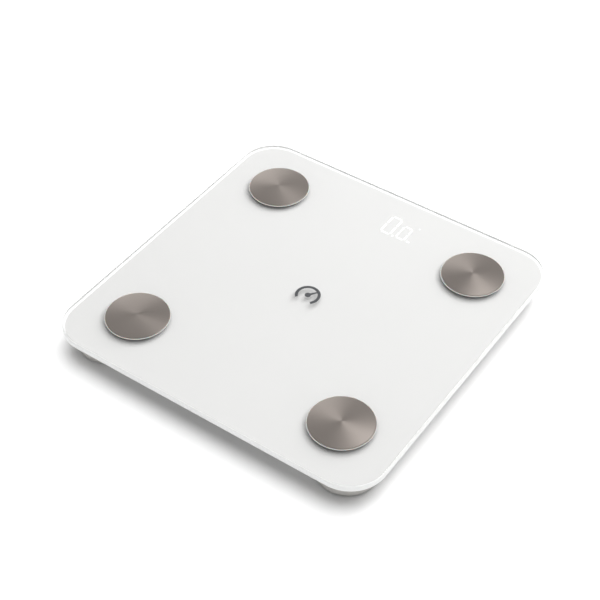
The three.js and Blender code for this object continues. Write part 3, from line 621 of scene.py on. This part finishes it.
CHIP = (5, 80)
chip = block("microcontroller", 9.2, 10, BOARD_BOTTOM - 1.2, BOARD_BOTTOM, CHIP, 0.2)
joined(chip, [turned("dot", [(0, 11), (0.5, 11), (0.5, 11.5), (0, 11.5)], (1.6, 84), 16)], "DIFFERENCE")
joined(chip, legs(9.6, 10, 1.0, BOARD_BOTTOM - 0.4, BOARD_BOTTOM - 0.02, CHIP))
placed(chip, chip_resin, "base", "chip", "microcontroller")
chip.data.materials.append(nickel_plate)
for face in chip.data.polygons:
    face.material_index = 1 if abs(face.center.x - CHIP[0] * MM) > 4.62 * MM else 0
radio = block("radio_module", 16, 12, BOARD_BOTTOM - 1.5, BOARD_BOTTOM, (-17, 80), 0.3)
placed(radio, nickel_plate, "base", "plated_steel", "radio_module")
for n, at in enumerate(BOARD_SCREWS):
    thread = [(0, 10.5), (0.6, 10.9)]
    for turn in range(6):
        thread += [(1.0, 11.1 + turn * 0.4), (0.8, 11.3 + turn * 0.4)]
    head = filleted([
        (1.0, 13.5), (1.0, BOARD_TOP), (2.0, BOARD_TOP, 0.1),
        (2.0, 14.5, 0.5), (0.7, 15.2, 0.2), (0, 15.2),
    ], 4)
    screw = turned("screw.%d" % (n + 1), thread + head, at, 32)
    for width, depth in ((2.2, 0.5), (0.5, 2.2)):
        joined(screw, [block("slot", width, depth, 14.6, 16, at, 0.05)], "DIFFERENCE")
    placed(screw, nickel_plate, "base", "plated_steel", "board_screw_%d" % (n + 1))


# The unit button and its switch: a grey ABS cap in the tray's floor that lifts the switch's nylon plunger.
button_abs = moulded("spark_grained_dark_grey_abs", "#8b8e91", "#84878a", 0.45, 0.4)
button = turned("unit_button.cap", filleted([
    (0, 7.7), (1.2, 7.65), (2.2, 7.4, 0.6), (3.0, 7.4, 0.35),
    (3.0, 10.0), (4.2, 10.0, 0.1), (4.2, 10.85, 0.1), (0, 10.85),
]), BUTTON, 48)
placed(button, button_abs, "button", "button_abs", "unit_button")
plunger = turned("unit_switch.plunger", filleted([
    (0, 10.85), (1.6, 10.85, 0.1), (1.6, 11.8, 0.2), (0, 11.8),
]), BUTTON, 32)
placed(plunger, nylon, "button", "nylon", "unit_switch_plunger")
switch = block("unit_switch.body", 6, 6, 11.3, BOARD_BOTTOM, BUTTON, 0.2)
joined(switch, [
    turned("room", [(0, 10), (1.9, 10), (1.9, 12.3), (0, 12.3)], BUTTON, 32),
], "DIFFERENCE")
placed(switch, chip_resin, "base", "chip", "unit_switch")


# Cells and contacts: three AAA cells in printed sleeves, in series between sprung contacts of plated strip.
# The sleeve is shrunk film with a silver band at the nub end; no name or figure is printed on it.
cell_sleeve, tree = material("shrunk_printed_cell_sleeve")
spot = add(tree, "ShaderNodeTexCoord").outputs
end = add(tree, "ShaderNodeSeparateXYZ", {"Vector": spot["Object"]}).outputs["Y"]
band = add(tree, "ShaderNodeMath", {0: end, 1: 12 * MM}, operation="GREATER_THAN")
metal = add(tree, "ShaderNodeMapRange", {"Value": band.outputs[0], "To Min": 0.1, "To Max": 0.7})
creases = add(tree, "ShaderNodeTexNoise", {"Vector": spot["Object"], "Scale": 1 / (3 * MM), "Detail": 3.0})
surfaced(tree, ("#33404f", "#a8adb2"), band.outputs[0], creases.outputs["Fac"],
         (0.2, 0.34), (0.1, 0.05), {"Metallic": metal.outputs["Result"], "IOR": 1.55})

CELL_RADIUS = 5.1
CELL_HEIGHT = 9.4
CELL_PITCH = 11.0
HALF_CELL = 22.25
battery_profile = filleted([
    (0, -HALF_CELL + 0.3), (3.0, -HALF_CELL + 0.3, 0.2), (3.4, -HALF_CELL, 0.2), (4.4, -HALF_CELL, 0.3),
    (4.6, -HALF_CELL + 0.25, 0.1), (CELL_RADIUS, -HALF_CELL + 0.25, 0.4),
    (CELL_RADIUS, HALF_CELL - 1.3, 0.5),
    (4.2, HALF_CELL - 1.3, 0.1), (4.0, HALF_CELL - 1.6, 0.1), (2.2, HALF_CELL - 1.6, 0.2),
    (1.9, HALF_CELL - 0.1, 0.3), (0, HALF_CELL),
], 4)
SPAN = BAY_SIZE[1] / 2 - 0.6 - HALF_CELL
for n, number in enumerate((-1, 0, 1)):
    way = -1 if number == 0 else 1
    battery = turned("battery.%d" % (n + 1), battery_profile, sides=64)
    battery.data.transform(Matrix.Rotation(-math.pi / 2, 4, "X"))
    battery.rotation_euler.z = 0 if way > 0 else math.pi
    battery.location = (number * CELL_PITCH * MM, (BAY[1] + way * SPAN) * MM, CELL_HEIGHT * MM)
    placed(battery, cell_sleeve, "base", "battery_sleeve", "battery_%d" % (n + 1))
    battery.data.materials.append(nickel_plate)
    for face in battery.data.polygons:
        bare = Vector((face.center.x, face.center.z)).length < 4.35 * MM
        face.material_index = 1 if bare else 0


def contact(name, side, numbers, springs, tails):
    """One plated contact: its plate against the bay's wall, with its sprung coils and its solder tail."""
    low = min(numbers) * CELL_PITCH - 4.5
    high = max(numbers) * CELL_PITCH + 4.5
    y = BAY[1] + side * (BAY_SIZE[1] / 2 - 0.25)
    strip = block("strip", high - low, 0.5, CELL_HEIGHT - 4.5, CELL_HEIGHT + 4.5, ((low + high) / 2, y), 0.1)
    for number in tails:
        reach = 3.6
        at = (number * CELL_PITCH, y + side * (reach / 2 - 0.3))
        joined(strip, [block("tail", 3, reach, 11.7, 12.3, at, 0.08)])
    for number in numbers:
        if number not in springs:
            pip = turned("pip", filleted([(0, 0), (2.2, 0), (1.4, 0.35, 0.2), (0, 0.35)]), sides=32)
            pip.data.transform(Matrix.Rotation(side * math.pi / 2, 4, "X"))
            at = Vector((number * CELL_PITCH, y - side * 0.2, CELL_HEIGHT)) * MM
            pip.data.transform(Matrix.Translation(at))
            joined(strip, [pip])
    strip.name = name + ".strip"
    placed(strip, nickel_plate, "base", "plated_steel", name)
    for number in springs:
        coil = bpy.data.curves.new(name + ".coil", "CURVE")
        coil.dimensions = "3D"
        coil.bevel_depth = 0.35 * MM
        coil.bevel_resolution = 4
        coil.use_fill_caps = True
        line = coil.splines.new("POLY")
        line.points.add(95)
        for k, point in enumerate(line.points):
            t = k / (len(line.points) - 1)
            angle = t * 3 * math.tau
            radius = 3.3 - 1.1 * t
            point.co = (
                (number * CELL_PITCH + radius * math.cos(angle)) * MM,
                (y - side * (0.6 + t * 4.25)) * MM,
                (CELL_HEIGHT + radius * math.sin(angle)) * MM,
                1,
            )
        spring = bpy.data.objects.new(name + ".coil", coil)
        bpy.context.scene.collection.objects.link(spring)
        coil.materials.append(nickel_plate)
        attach(spring, "base")


contact("battery_contact_positive", 1, (-1,), (), (-1,))
contact("battery_contact_front", -1, (-1, 0), (-1,), ())
contact("battery_contact_rear", 1, (0, 1), (0,), ())
contact("battery_contact_negative", -1, (1,), (1,), (1,))


# The battery door: a white ABS plate that hooks in by two tabs at the front edge and snaps shut with a
# sprung finger between two slits at the rear. The finger has grip ribs, and a sunk arrow shows where to push.
DOOR_BOTTOM = 2.4
DOOR_TOP = 4.2
door = block("door", 33.2, 50.4, DOOR_BOTTOM, DOOR_TOP, BAY, 0.5)
DOOR_REAR = BAY[1] + 25.2
DOOR_FRONT = BAY[1] - 25.2
joined(door, [
    block("tab", 6, 1.9, DOOR_BOTTOM + 0.8, DOOR_TOP, (x, DOOR_FRONT - 0.25), 0.2) for x in (-9, 9)
] + [
    block("latch", 9.8, 2.0, DOOR_BOTTOM, DOOR_TOP, (0, DOOR_REAR + 0.2), 0.3),
])
joined(door, [
    block("slit", 0.8, 8.2, DOOR_BOTTOM - 1, DOOR_TOP + 1, (x, DOOR_REAR - 3.9), 0.15) for x in (-5.4, 5.4)
] + [
    block("dish", 8.6, 5.6, DOOR_BOTTOM - 2, DOOR_BOTTOM + 0.7, (0, DOOR_REAR - 3.6), 1.2),
], "DIFFERENCE")
joined(door, [
    block("rib", 7.0, 0.6, DOOR_BOTTOM + 0.15, DOOR_BOTTOM + 1.0, (0, DOOR_REAR - 5.4 + k * 1.2), 0.15)
    for k in range(4)
])
arrow = [(-3.5, -2), (3.5, -2), (0, 3)]
joined(door, [
    prism("arrow", [(x, DOOR_REAR - 13 + y) for x, y in arrow], DOOR_BOTTOM - 1, DOOR_BOTTOM + 0.35),
    lofted("panel", rounded(27, 30, 2, 6), [
        (0, 1), (0, DOOR_BOTTOM + 0.3), (0.6, DOOR_BOTTOM + 0.3), (0.6, 1),
    ], (0, BAY[1] - 7), hollow=True),
], "DIFFERENCE")
joined(door, [
    block("rail", 1.0, 40, DOOR_TOP - 0.3, DOOR_TOP + 0.05, (x, BAY[1]), 0.1) for x in (-15.2, 15.2)
])
placed(door, white_abs, "door", "white_abs", "battery_door")


# Leads: fine stranded copper in soft extruded vinyl, blue from the electrodes, white from the load cells and
# red and black from the bay, each laid in the tray's clips and soldered to the board.
def sleeve(name, colour, shade):
    """Extruded soft vinyl: a waxy sheen with faint draw marks."""
    made_of, tree = material(name)
    place = add(tree, "ShaderNodeTexCoord").outputs["Object"]
    marks = add(tree, "ShaderNodeTexNoise", {"Vector": place, "Scale": 1 / (1.5 * MM), "Detail": 3.0})
    surfaced(tree, (colour, shade), marks.outputs["Fac"], marks.outputs["Fac"],
             (0.32, 0.46), (0.1, 0.03), {"IOR": 1.53})
    return made_of


blue_vinyl = sleeve("extruded_blue_vinyl", "#2f5f9e", "#3a6cad")
white_vinyl = sleeve("extruded_white_vinyl", "#e2e2de", "#ebebe7")
red_vinyl = sleeve("extruded_red_vinyl", "#a82226", "#b82d30")
black_vinyl = sleeve("extruded_black_vinyl", "#19191a", "#232324")

LEAD_RADIUS = 0.6
ON_FLOOR = TRAY_FLOOR + 0.7
ON_BOARD = BOARD_TOP + 0.7
BOARD_FRONT = 60.0


def lead(name, corners, finish, cad_node):
    """A lead along its corners, with a smooth bend at each."""
    places = [Vector(corner) for corner in corners]
    path = [places[0]]
    for before, here, after in zip(places, places[1:], places[2:]):
        trim = min(4.0, (here - before).length * 0.45, (after - here).length * 0.45)
        start = here + (before - here).normalized() * trim
        end = here + (after - here).normalized() * trim
        for k in range(7):
            t = k / 6
            path.append(start.lerp(here, t).lerp(here.lerp(end, t), t))
    path.append(places[-1])
    curve = bpy.data.curves.new(name, "CURVE")
    curve.dimensions = "3D"
    curve.bevel_depth = LEAD_RADIUS * MM
    curve.bevel_resolution = 4
    curve.use_fill_caps = True
    line = curve.splines.new("POLY")
    line.points.add(len(path) - 1)
    for point, place in zip(line.points, path):
        point.co = (*(place * MM), 1)
    piece = bpy.data.objects.new(name, curve)
    bpy.context.scene.collection.objects.link(piece)
    curve.materials.append(finish)
    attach(piece, "base")
    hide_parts(cad_node)


def side_end(sx, y):
    """The last stretch of a lead, up from the floor and onto the board's side."""
    edge = BOARD[0] + sx * 38
    return [(edge + sx * 6, y, ON_FLOOR), (edge + sx * 1.5, y, ON_BOARD), (edge - sx * 4, y, ON_BOARD)]


def front_end(x):
    """The same at the board's front edge."""
    steps = [(-6, ON_FLOOR), (-1.5, ON_BOARD), (4, ON_BOARD)]
    return [(x, BOARD_FRONT + y, height) for y, height in steps]


for corner, (sx, sy) in CORNERS.items():
    x, y = STUDS[corner]
    route = [(x - sx * 3.4, y - sy * 3.4, 16.0), (x - sx * 7, y - sy * 7, 16.0)]
    if sy < 0:
        route += [(sx * INNER_LANE, y + 15, ON_FLOOR), (sx * INNER_LANE, BOARD_FRONT - 6, ON_FLOOR)]
        route += front_end(BOARD[0] + sx * 28)
    else:
        route += [(sx * 70, y - 6, ON_FLOOR)] + side_end(sx, y - 6)
    lead("electrode_lead." + corner, route, blue_vinyl, "electrode_lead_" + corner)
    angle = pod_turn(corner)
    out = -sx * math.radians(27)
    inner = [(-5, -sx * 3.15), (-5, -sx * 5.5), (12, -sx * 6.6)]
    inner += [(reach * math.cos(out), reach * math.sin(out)) for reach in (22, 29)]
    route = []
    for a, b in inner:
        route.append((
            sx * FOOT_PLACE + a * math.cos(angle) - b * math.sin(angle),
            sy * FOOT_PLACE + a * math.sin(angle) + b * math.cos(angle), 12.0,
        ))
    if sy < 0:
        turn = FOOT_PLACE - POD_RADIUS - 2.5
        route += [(sx * OUTER_LANE, way, ON_FLOOR) for way in (POD_RADIUS + 12 - FOOT_PLACE, turn)]
    else:
        turn = OUTER_LANE
        route.append((sx * (FOOT_PLACE - POD_RADIUS - 12), turn, ON_FLOOR))
    route += side_end(sx, turn)
    lead("load_cell_lead." + corner, route, white_vinyl, "load_cell_lead_" + corner)

lead("battery_lead.red", [
    (-CELL_PITCH, BAY_REAR + 3.4, 12.0), (-CELL_PITCH, BOARD_FRONT - 6, 12.0),
] + front_end(-CELL_PITCH)[1:], red_vinyl, "battery_lead_red")
lane = BAY_SIZE[0] / 2 + 5.6
turn = BAY_FRONT - 8.4
lead("battery_lead.black", [
    (CELL_PITCH, BAY_FRONT - 3.4, 12.0), (CELL_PITCH, turn, ON_FLOOR), (lane, turn, ON_FLOOR),
    (lane, BOARD_FRONT - 7, ON_FLOOR),
] + front_end(lane - 4), black_vinyl, "battery_lead_black")


# Bonding tape: closed-cell acrylic foam, die cut to the tray's rim and pods, that holds the glass down.
foam_tape, tree = material("closed_cell_foam_tape")
place = add(tree, "ShaderNodeTexCoord").outputs["Object"]
cells = add(tree, "ShaderNodeTexVoronoi", {"Vector": place, "Scale": 1 / (0.4 * MM)})
surfaced(tree, ("#c8c9c6", "#dcddda"), cells.outputs["Distance"], cells.outputs["Distance"],
         (0.8, 0.95), (0.6, 0.08), {})
PRINT_BACK = 16.7
tape_disc = [(0, TRAY_RIM), (POD_RADIUS, TRAY_RIM), (POD_RADIUS, PRINT_BACK), (0, PRINT_BACK)]
tape = lofted("bonding_tape.rim", rounded(TRAY_SIZE, TRAY_SIZE, TRAY_CORNER), [
    (0, TRAY_RIM), (0, PRINT_BACK), (3, PRINT_BACK), (3, TRAY_RIM),
], hollow=True)
joined(tape, [in_pod(turned("pad", tape_disc), corner) for corner in CORNERS])
joined(tape, [pocket(corner, 15, 18) for corner in CORNERS], "DIFFERENCE")
placed(tape, foam_tape, "base", "foam_tape", "bonding_tape")


# The glass platform: 5 mm float glass, cut square with round corners, ground and polished at the edge
# with a small arris, drilled for the four studs and then tempered.
def lit_through(tree, glass):
    """Ends a glass material: light on its way to the print passes straight through, as in a thin sheet."""
    ray = add(tree, "ShaderNodeLightPath").outputs
    open_to = add(tree, "ShaderNodeMath", {
        0: ray["Is Shadow Ray"], 1: ray["Is Diffuse Ray"],
    }, operation="MAXIMUM")
    clear = add(tree, "ShaderNodeBsdfTransparent", {"Color": linear("#fefefe")})
    shader = add(tree, "ShaderNodeMixShader", {
        0: open_to.outputs[0], 1: glass.outputs[0], 2: clear.outputs[0],
    })
    add(tree, "ShaderNodeOutputMaterial", {"Surface": shader.outputs[0]})


# Clear float glass: flat to the eye, with only a long faint roll from the furnace's rollers.
tempered_glass, tree = material("tempered_float_glass")
place = add(tree, "ShaderNodeTexCoord").outputs["Object"]
roller = add(tree, "ShaderNodeTexNoise", {"Vector": place, "Scale": 1 / (60 * MM), "Detail": 1.0})
rough = add(tree, "ShaderNodeMapRange", {
    "Value": roller.outputs["Fac"], "To Min": 0.01, "To Max": 0.03,
})
bump = add(tree, "ShaderNodeBump", {
    "Height": roller.outputs["Fac"], "Strength": 0.2, "Distance": 0.02 * MM,
})
glass = add(tree, "ShaderNodeBsdfPrincipled", {
    "Base Color": linear("#fefefe"), "Roughness": rough.outputs["Result"], "IOR": 1.52,
    "Transmission Weight": 1.0, "Normal": bump.outputs["Normal"],
})
lit_through(tree, glass)

# The same glass where a wheel ground its edge: a fine even frost, so the rim looks pale and not clear.
ground_edge, tree = material("ground_glass_edge")
place = add(tree, "ShaderNodeTexCoord").outputs["Object"]
frost = add(tree, "ShaderNodeTexNoise", {"Vector": place, "Scale": 1 / (0.3 * MM), "Detail": 3.0})
rough = add(tree, "ShaderNodeMapRange", {
    "Value": frost.outputs["Fac"], "To Min": 0.3, "To Max": 0.45,
})
bump = add(tree, "ShaderNodeBump", {
    "Height": frost.outputs["Fac"], "Strength": 0.2, "Distance": 0.02 * MM,
})
frosted = add(tree, "ShaderNodeBsdfPrincipled", {
    "Base Color": linear("#f2f3f2"), "Roughness": rough.outputs["Result"], "IOR": 1.52,
    "Transmission Weight": 0.35, "Normal": bump.outputs["Normal"],
})
lit_through(tree, frosted)

GLASS_BOTTOM = 17.0
GLASS_TOP = 22.0
plate = lofted("glass", rounded(260, 260, 27, 24), filleted([
    (4, GLASS_BOTTOM), (0.4, GLASS_BOTTOM, 0.15), (0, GLASS_BOTTOM + 0.4, 0.15),
    (0, GLASS_TOP - 0.6, 0.2), (0.6, GLASS_TOP, 0.2), (4, GLASS_TOP),
], 3))
stud_hole = [(0, 16), (2.4, 16), (2.4, 23), (0, 23)]
joined(plate, [turned("stud_hole", stud_hole, at, 32) for at in STUDS.values()], "DIFFERENCE")
placed(plate, tempered_glass, "base", "clear_glass", "glass_platform")
plate.data.materials.append(ground_edge)
for face in plate.data.polygons:
    rim = max(abs(face.center.x), abs(face.center.y)) > 108 * MM
    face.material_index = 1 if rim and abs(face.normal.z) < 0.95 else 0


# The back print: white ceramic ink, screen printed on the back of the glass and fired into it, 2 mm short of
# the edge. It is in full contact with the glass, so its face lies a hair inside it.
fired_ink, tree = material("fired_white_ceramic_ink")
place = add(tree, "ShaderNodeTexCoord").outputs["Object"]
cloud = add(tree, "ShaderNodeTexNoise", {"Vector": place, "Scale": 1 / (90 * MM), "Detail": 2.0})
mesh_grain = add(tree, "ShaderNodeTexNoise", {"Vector": place, "Scale": 1 / (0.3 * MM), "Detail": 2.0})
surfaced(tree, ("#cdcdcc", "#cfcfce"), cloud.outputs["Fac"], mesh_grain.outputs["Fac"],
         (0.55, 0.7), (0.1, 0.01), {"Specular IOR Level": 0.0})

PRINT_FACE = GLASS_BOTTOM + 0.02
print_layer = lofted("print", rounded(256, 256, 25, 24), [
    (4, PRINT_BACK), (0, PRINT_BACK), (0, PRINT_FACE), (4, PRINT_FACE),
])
joined(print_layer, [turned("stud_hole", stud_hole, at, 32) for at in STUDS.values()], "DIFFERENCE")
placed(print_layer, fired_ink, "base", "white_print", "back_print")


# The emblem: a gauge with its needle, printed on the face of the glass in a dark metallic grey ink.
# A thick screen-printed film with rounded edges and a soft satin sheen.
grey_ink, tree = material("screen_printed_grey_ink")
place = add(tree, "ShaderNodeTexCoord").outputs["Object"]
flake = add(tree, "ShaderNodeTexVoronoi", {"Vector": place, "Scale": 1 / (0.3 * MM)})
surfaced(tree, ("#4a4b4d", "#66686a"), flake.outputs["Distance"], flake.outputs["Distance"],
         (0.36, 0.5), (0.15, 0.02), {"Metallic": 0.35, "IOR": 1.5})

EMBLEM_TOP = GLASS_TOP + 0.1
EMBLEM_STROKE = 2.2
EMBLEM_MIDDLE = 8.1
gauge = []
for side, steps in ((1, range(65)), (-1, range(64, -1, -1))):
    radius = EMBLEM_MIDDLE + side * EMBLEM_STROKE / 2
    for step in steps:
        angle = math.radians(-45 + 270 * step / 64)
        gauge.append((radius * math.cos(angle), radius * math.sin(angle)))
INK_FOOT = GLASS_TOP - 0.01
emblem = prism("emblem", gauge, INK_FOOT, EMBLEM_TOP)
needle = prism("needle", [
    (-1.1, 0), (1.1, 0), (0.55, EMBLEM_MIDDLE), (-0.55, EMBLEM_MIDDLE),
], INK_FOOT, EMBLEM_TOP)
needle.rotation_euler.z = -math.pi / 5
bpy.context.view_layer.update()
joined(emblem, [needle])
hub = [(0, INK_FOOT), (2.2, INK_FOOT), (2.2, EMBLEM_TOP), (0, EMBLEM_TOP)]
joined(emblem, [turned("hub", hub, sides=48)])
placed(emblem, grey_ink, "base", "grey_ink", "dial_emblem")


# The display shows through the print: seven-segment lights moulded white and lit from the board,
# here a first figure, its point, a smaller second figure, and the unit and radio marks.
lit_segment, tree = material("lit_white_display_segment")
place = add(tree, "ShaderNodeTexCoord").outputs["Object"]
spread = add(tree, "ShaderNodeTexNoise", {"Vector": place, "Scale": 1 / (2 * MM), "Detail": 2.0})
glow = add(tree, "ShaderNodeMapRange", {
    "Value": spread.outputs["Fac"], "To Min": 0.5, "To Max": 0.62,
})
shader = add(tree, "ShaderNodeBsdfPrincipled", {
    "Base Color": linear("#f4f6f8"), "Roughness": 0.6, "Specular IOR Level": 0.0,
    "Emission Color": linear("#f8fbff"), "Emission Strength": glow.outputs["Result"],
})
add(tree, "ShaderNodeOutputMaterial", {"Surface": shader.outputs[0]})

SEGMENT_BOTTOM = 16.9
SEGMENT_FACE = PRINT_FACE + 0.01
STROKE = 1.05


def segment(x, y, length, upright):
    """One bar of a figure, with pointed ends, middle at (x, y)."""
    half = length / 2
    tip = STROKE / 2
    points = [
        (-half, 0), (tip - half, -tip), (half - tip, -tip), (half, 0), (half - tip, tip), (tip - half, tip),
    ]
    if upright:
        points = [(-b, a) for a, b in points]
    return prism("bar", [(x + a, y + b) for a, b in points], SEGMENT_BOTTOM, SEGMENT_FACE)


def nought(left, bottom, width, height):
    """The six lit bars of a nought; the middle bar stays dark."""
    inset = STROKE / 2
    across = width - STROKE - 1.3
    up = (height - STROKE) / 2 - 1.3
    bars = [
        segment(left + width / 2, bottom + edge, across, False) for edge in (inset, height - inset)
    ]
    for x in (left + inset, left + width - inset):
        for share in (0.25, 0.75):
            bars.append(segment(x, bottom + inset + (height - STROKE) * share, up, True))
    return bars


figures = nought(3.2, 89.5, 9.0, 19.8) + nought(16.2, 89.7, 7.8, 14.9)
for size, at in ((0.75, (14.2, 90.0)), (0.42, (27.4, 107.5))):
    dot = [(0, SEGMENT_BOTTOM), (size, SEGMENT_BOTTOM), (size, SEGMENT_FACE), (0, SEGMENT_FACE)]
    figures.append(turned("dot", dot, at, 24))
figures.append(block("unit_mark", 2.4, 1.2, SEGMENT_BOTTOM, SEGMENT_FACE, (27.2, 90.6), 0.05))
display = figures.pop(0)
joined(display, figures)
display.name = "display_figures"
placed(display, lit_segment, "base", "diffuser")


# Electrodes: discs of stainless steel, spun to a low dome with the edge rolled under, with a welded stud
# that passes through the glass. The lathe leaves fine rings, so the light draws out into two soft fans.
spun_steel, tree = material("spun_stainless_steel")
place = add(tree, "ShaderNodeTexCoord").outputs["Object"]
flat = add(tree, "ShaderNodeVectorMath", {0: place, 1: (1.0, 1.0, 0.0)}, operation="MULTIPLY")
reach = add(tree, "ShaderNodeVectorMath", {0: flat.outputs[0]}, operation="LENGTH")
across = add(tree, "ShaderNodeCombineXYZ", {"X": reach.outputs["Value"]})
# The lathe's rings are 0.05 mm apart; they are drawn every 0.4 mm so that they show.
rings = add(tree, "ShaderNodeTexNoise", {
    "Vector": across.outputs[0], "Scale": 1 / (0.4 * MM), "Detail": 3.0, "Roughness": 0.7,
})
around = add(tree, "ShaderNodeTangent", direction_type="RADIAL", axis="Z")
surfaced(tree, ("#beb4ad", "#cbc2bb"), rings.outputs["Fac"], rings.outputs["Fac"],
         (0.37, 0.46), (0.08, 0.02), {
    "Metallic": 1.0, "Anisotropic": 0.6, "Anisotropic Rotation": 0.25, "Tangent": around.outputs[0],
})

ELECTRODE_RADIUS = 22.65
CROWN_RADIUS = 22.15
CROWN_RISE = 1.2
CROWN_FOOT = GLASS_TOP + 0.8
sphere = (CROWN_RADIUS ** 2 + CROWN_RISE ** 2) / (2 * CROWN_RISE)
dome_profile = [Vector((0, 13.6)), Vector((1.7, 13.6))]
for turn in range(6):
    dome_profile += [Vector((2.0, 13.8 + turn * 0.4)), Vector((1.75, 14.0 + turn * 0.4))]
dome_profile += filleted([
    (2.0, 16.4), (2.0, GLASS_TOP), (ELECTRODE_RADIUS, GLASS_TOP, 0.15),
    (ELECTRODE_RADIUS, GLASS_TOP + 0.5, 0.15), (CROWN_RADIUS, CROWN_FOOT, 0.15),
    (CROWN_RADIUS - 1, CROWN_FOOT + 0.1),
], 3)[:-1]
for step in range(20, -1, -1):
    radius = (CROWN_RADIUS - 0.2) * step / 20
    rise = math.sqrt(sphere ** 2 - radius ** 2) - sphere + CROWN_RISE
    dome_profile.append(Vector((radius, CROWN_FOOT + rise)))
for corner, at in STUDS.items():
    dome = turned("electrode." + corner, dome_profile, at, 128)
    placed(dome, spun_steel, "base", "satin_steel", "electrode_" + corner)

# The two strip lights are there for the steel alone, so the glass stays a clean even sheet from all sides.
steel_discs = bpy.data.collections.new("steel_discs")
for corner in CORNERS:
    steel_discs.objects.link(bpy.data.objects["electrode." + corner])
for name in ("low_strip", "high_strip"):
    bpy.data.objects[name].light_linking.receiver_collection = steel_discs


# Gaskets: each disc sits on a punched ring of clear silicone rubber that keeps water out of its stud hole.
# The disc squeezes it, so a thin rounded lip shows all round the steel. The lip is partly painted light: its
# pale grey stands in for a bright line along the foot of each disc, and covers part of the disc's contact
# shadow.
lip_silicone_and_rim_light, tree = material("pressed_clear_silicone_and_painted_rim_light")
place = add(tree, "ShaderNodeTexCoord").outputs["Object"]
haze = add(tree, "ShaderNodeTexNoise", {"Vector": place, "Scale": 1 / (2 * MM), "Detail": 2.0})
# The lip's pale grey is partly painted light: a stand-in for the bright line at each disc's foot.
surfaced(tree, ("#c6c6c1", "#cfcfca"), haze.outputs["Fac"], haze.outputs["Fac"],
         (0.25, 0.38), (0.1, 0.03), {
    "IOR": 1.41, "Subsurface Weight": 0.3, "Subsurface Scale": 1.0 * MM,
})
GASKET_BORE = ELECTRODE_RADIUS + 0.02
LIP_RADIUS = ELECTRODE_RADIUS + 0.45
lip_profile = filleted([
    (GASKET_BORE, GLASS_TOP), (LIP_RADIUS, GLASS_TOP, 0.1), (LIP_RADIUS, GLASS_TOP + 0.3, 0.2),
    (GASKET_BORE, GLASS_TOP + 0.5, 0.1), (GASKET_BORE, GLASS_TOP),
], 4)
for corner, at in STUDS.items():
    gasket = turned("electrode_gasket." + corner, lip_profile, at, 128)
    placed(gasket, lip_silicone_and_rim_light, "base", "white_sleeve")


# Nuts and lugs: a chamfered hex nut holds each electrode's stud, over a tinned ring lug crimped on its lead.
NUT_CORNER = 4.04
nut_angles = [n * math.tau / 6 for n in range(6)]
nut_edge = [(NUT_CORNER * math.cos(a), NUT_CORNER * math.sin(a)) for a in nut_angles]
for corner, at in STUDS.items():
    nut = prism("electrode_nut." + corner, nut_edge, 14.1, 16.1, at)
    eased(nut, 0.25, 2, 50)
    joined(nut, [turned("bore", [(0, 13), (2.3, 13), (2.3, 17), (0, 17)], at, 48)], "DIFFERENCE")
    placed(nut, nickel_plate, "base", "plated_steel", "electrode_nut_" + corner)
    lug = turned("electrode_lug." + corner, [
        (2.3, 16.1), (4.2, 16.1), (4.2, 16.7), (2.3, 16.7), (2.3, 16.1),
    ], at, 48)
    barrel = block("barrel", 4, 2.4, 16.12, 16.68, edge=0.15)
    barrel.rotation_euler.z = pod_turn(corner)
    barrel.location = [(place - 3.82 * side) * MM for place, side in zip(at, CORNERS[corner])] + [0]
    bpy.context.view_layer.update()
    joined(lug, [barrel])
    placed(lug, nickel_plate, "base", "plated_steel")
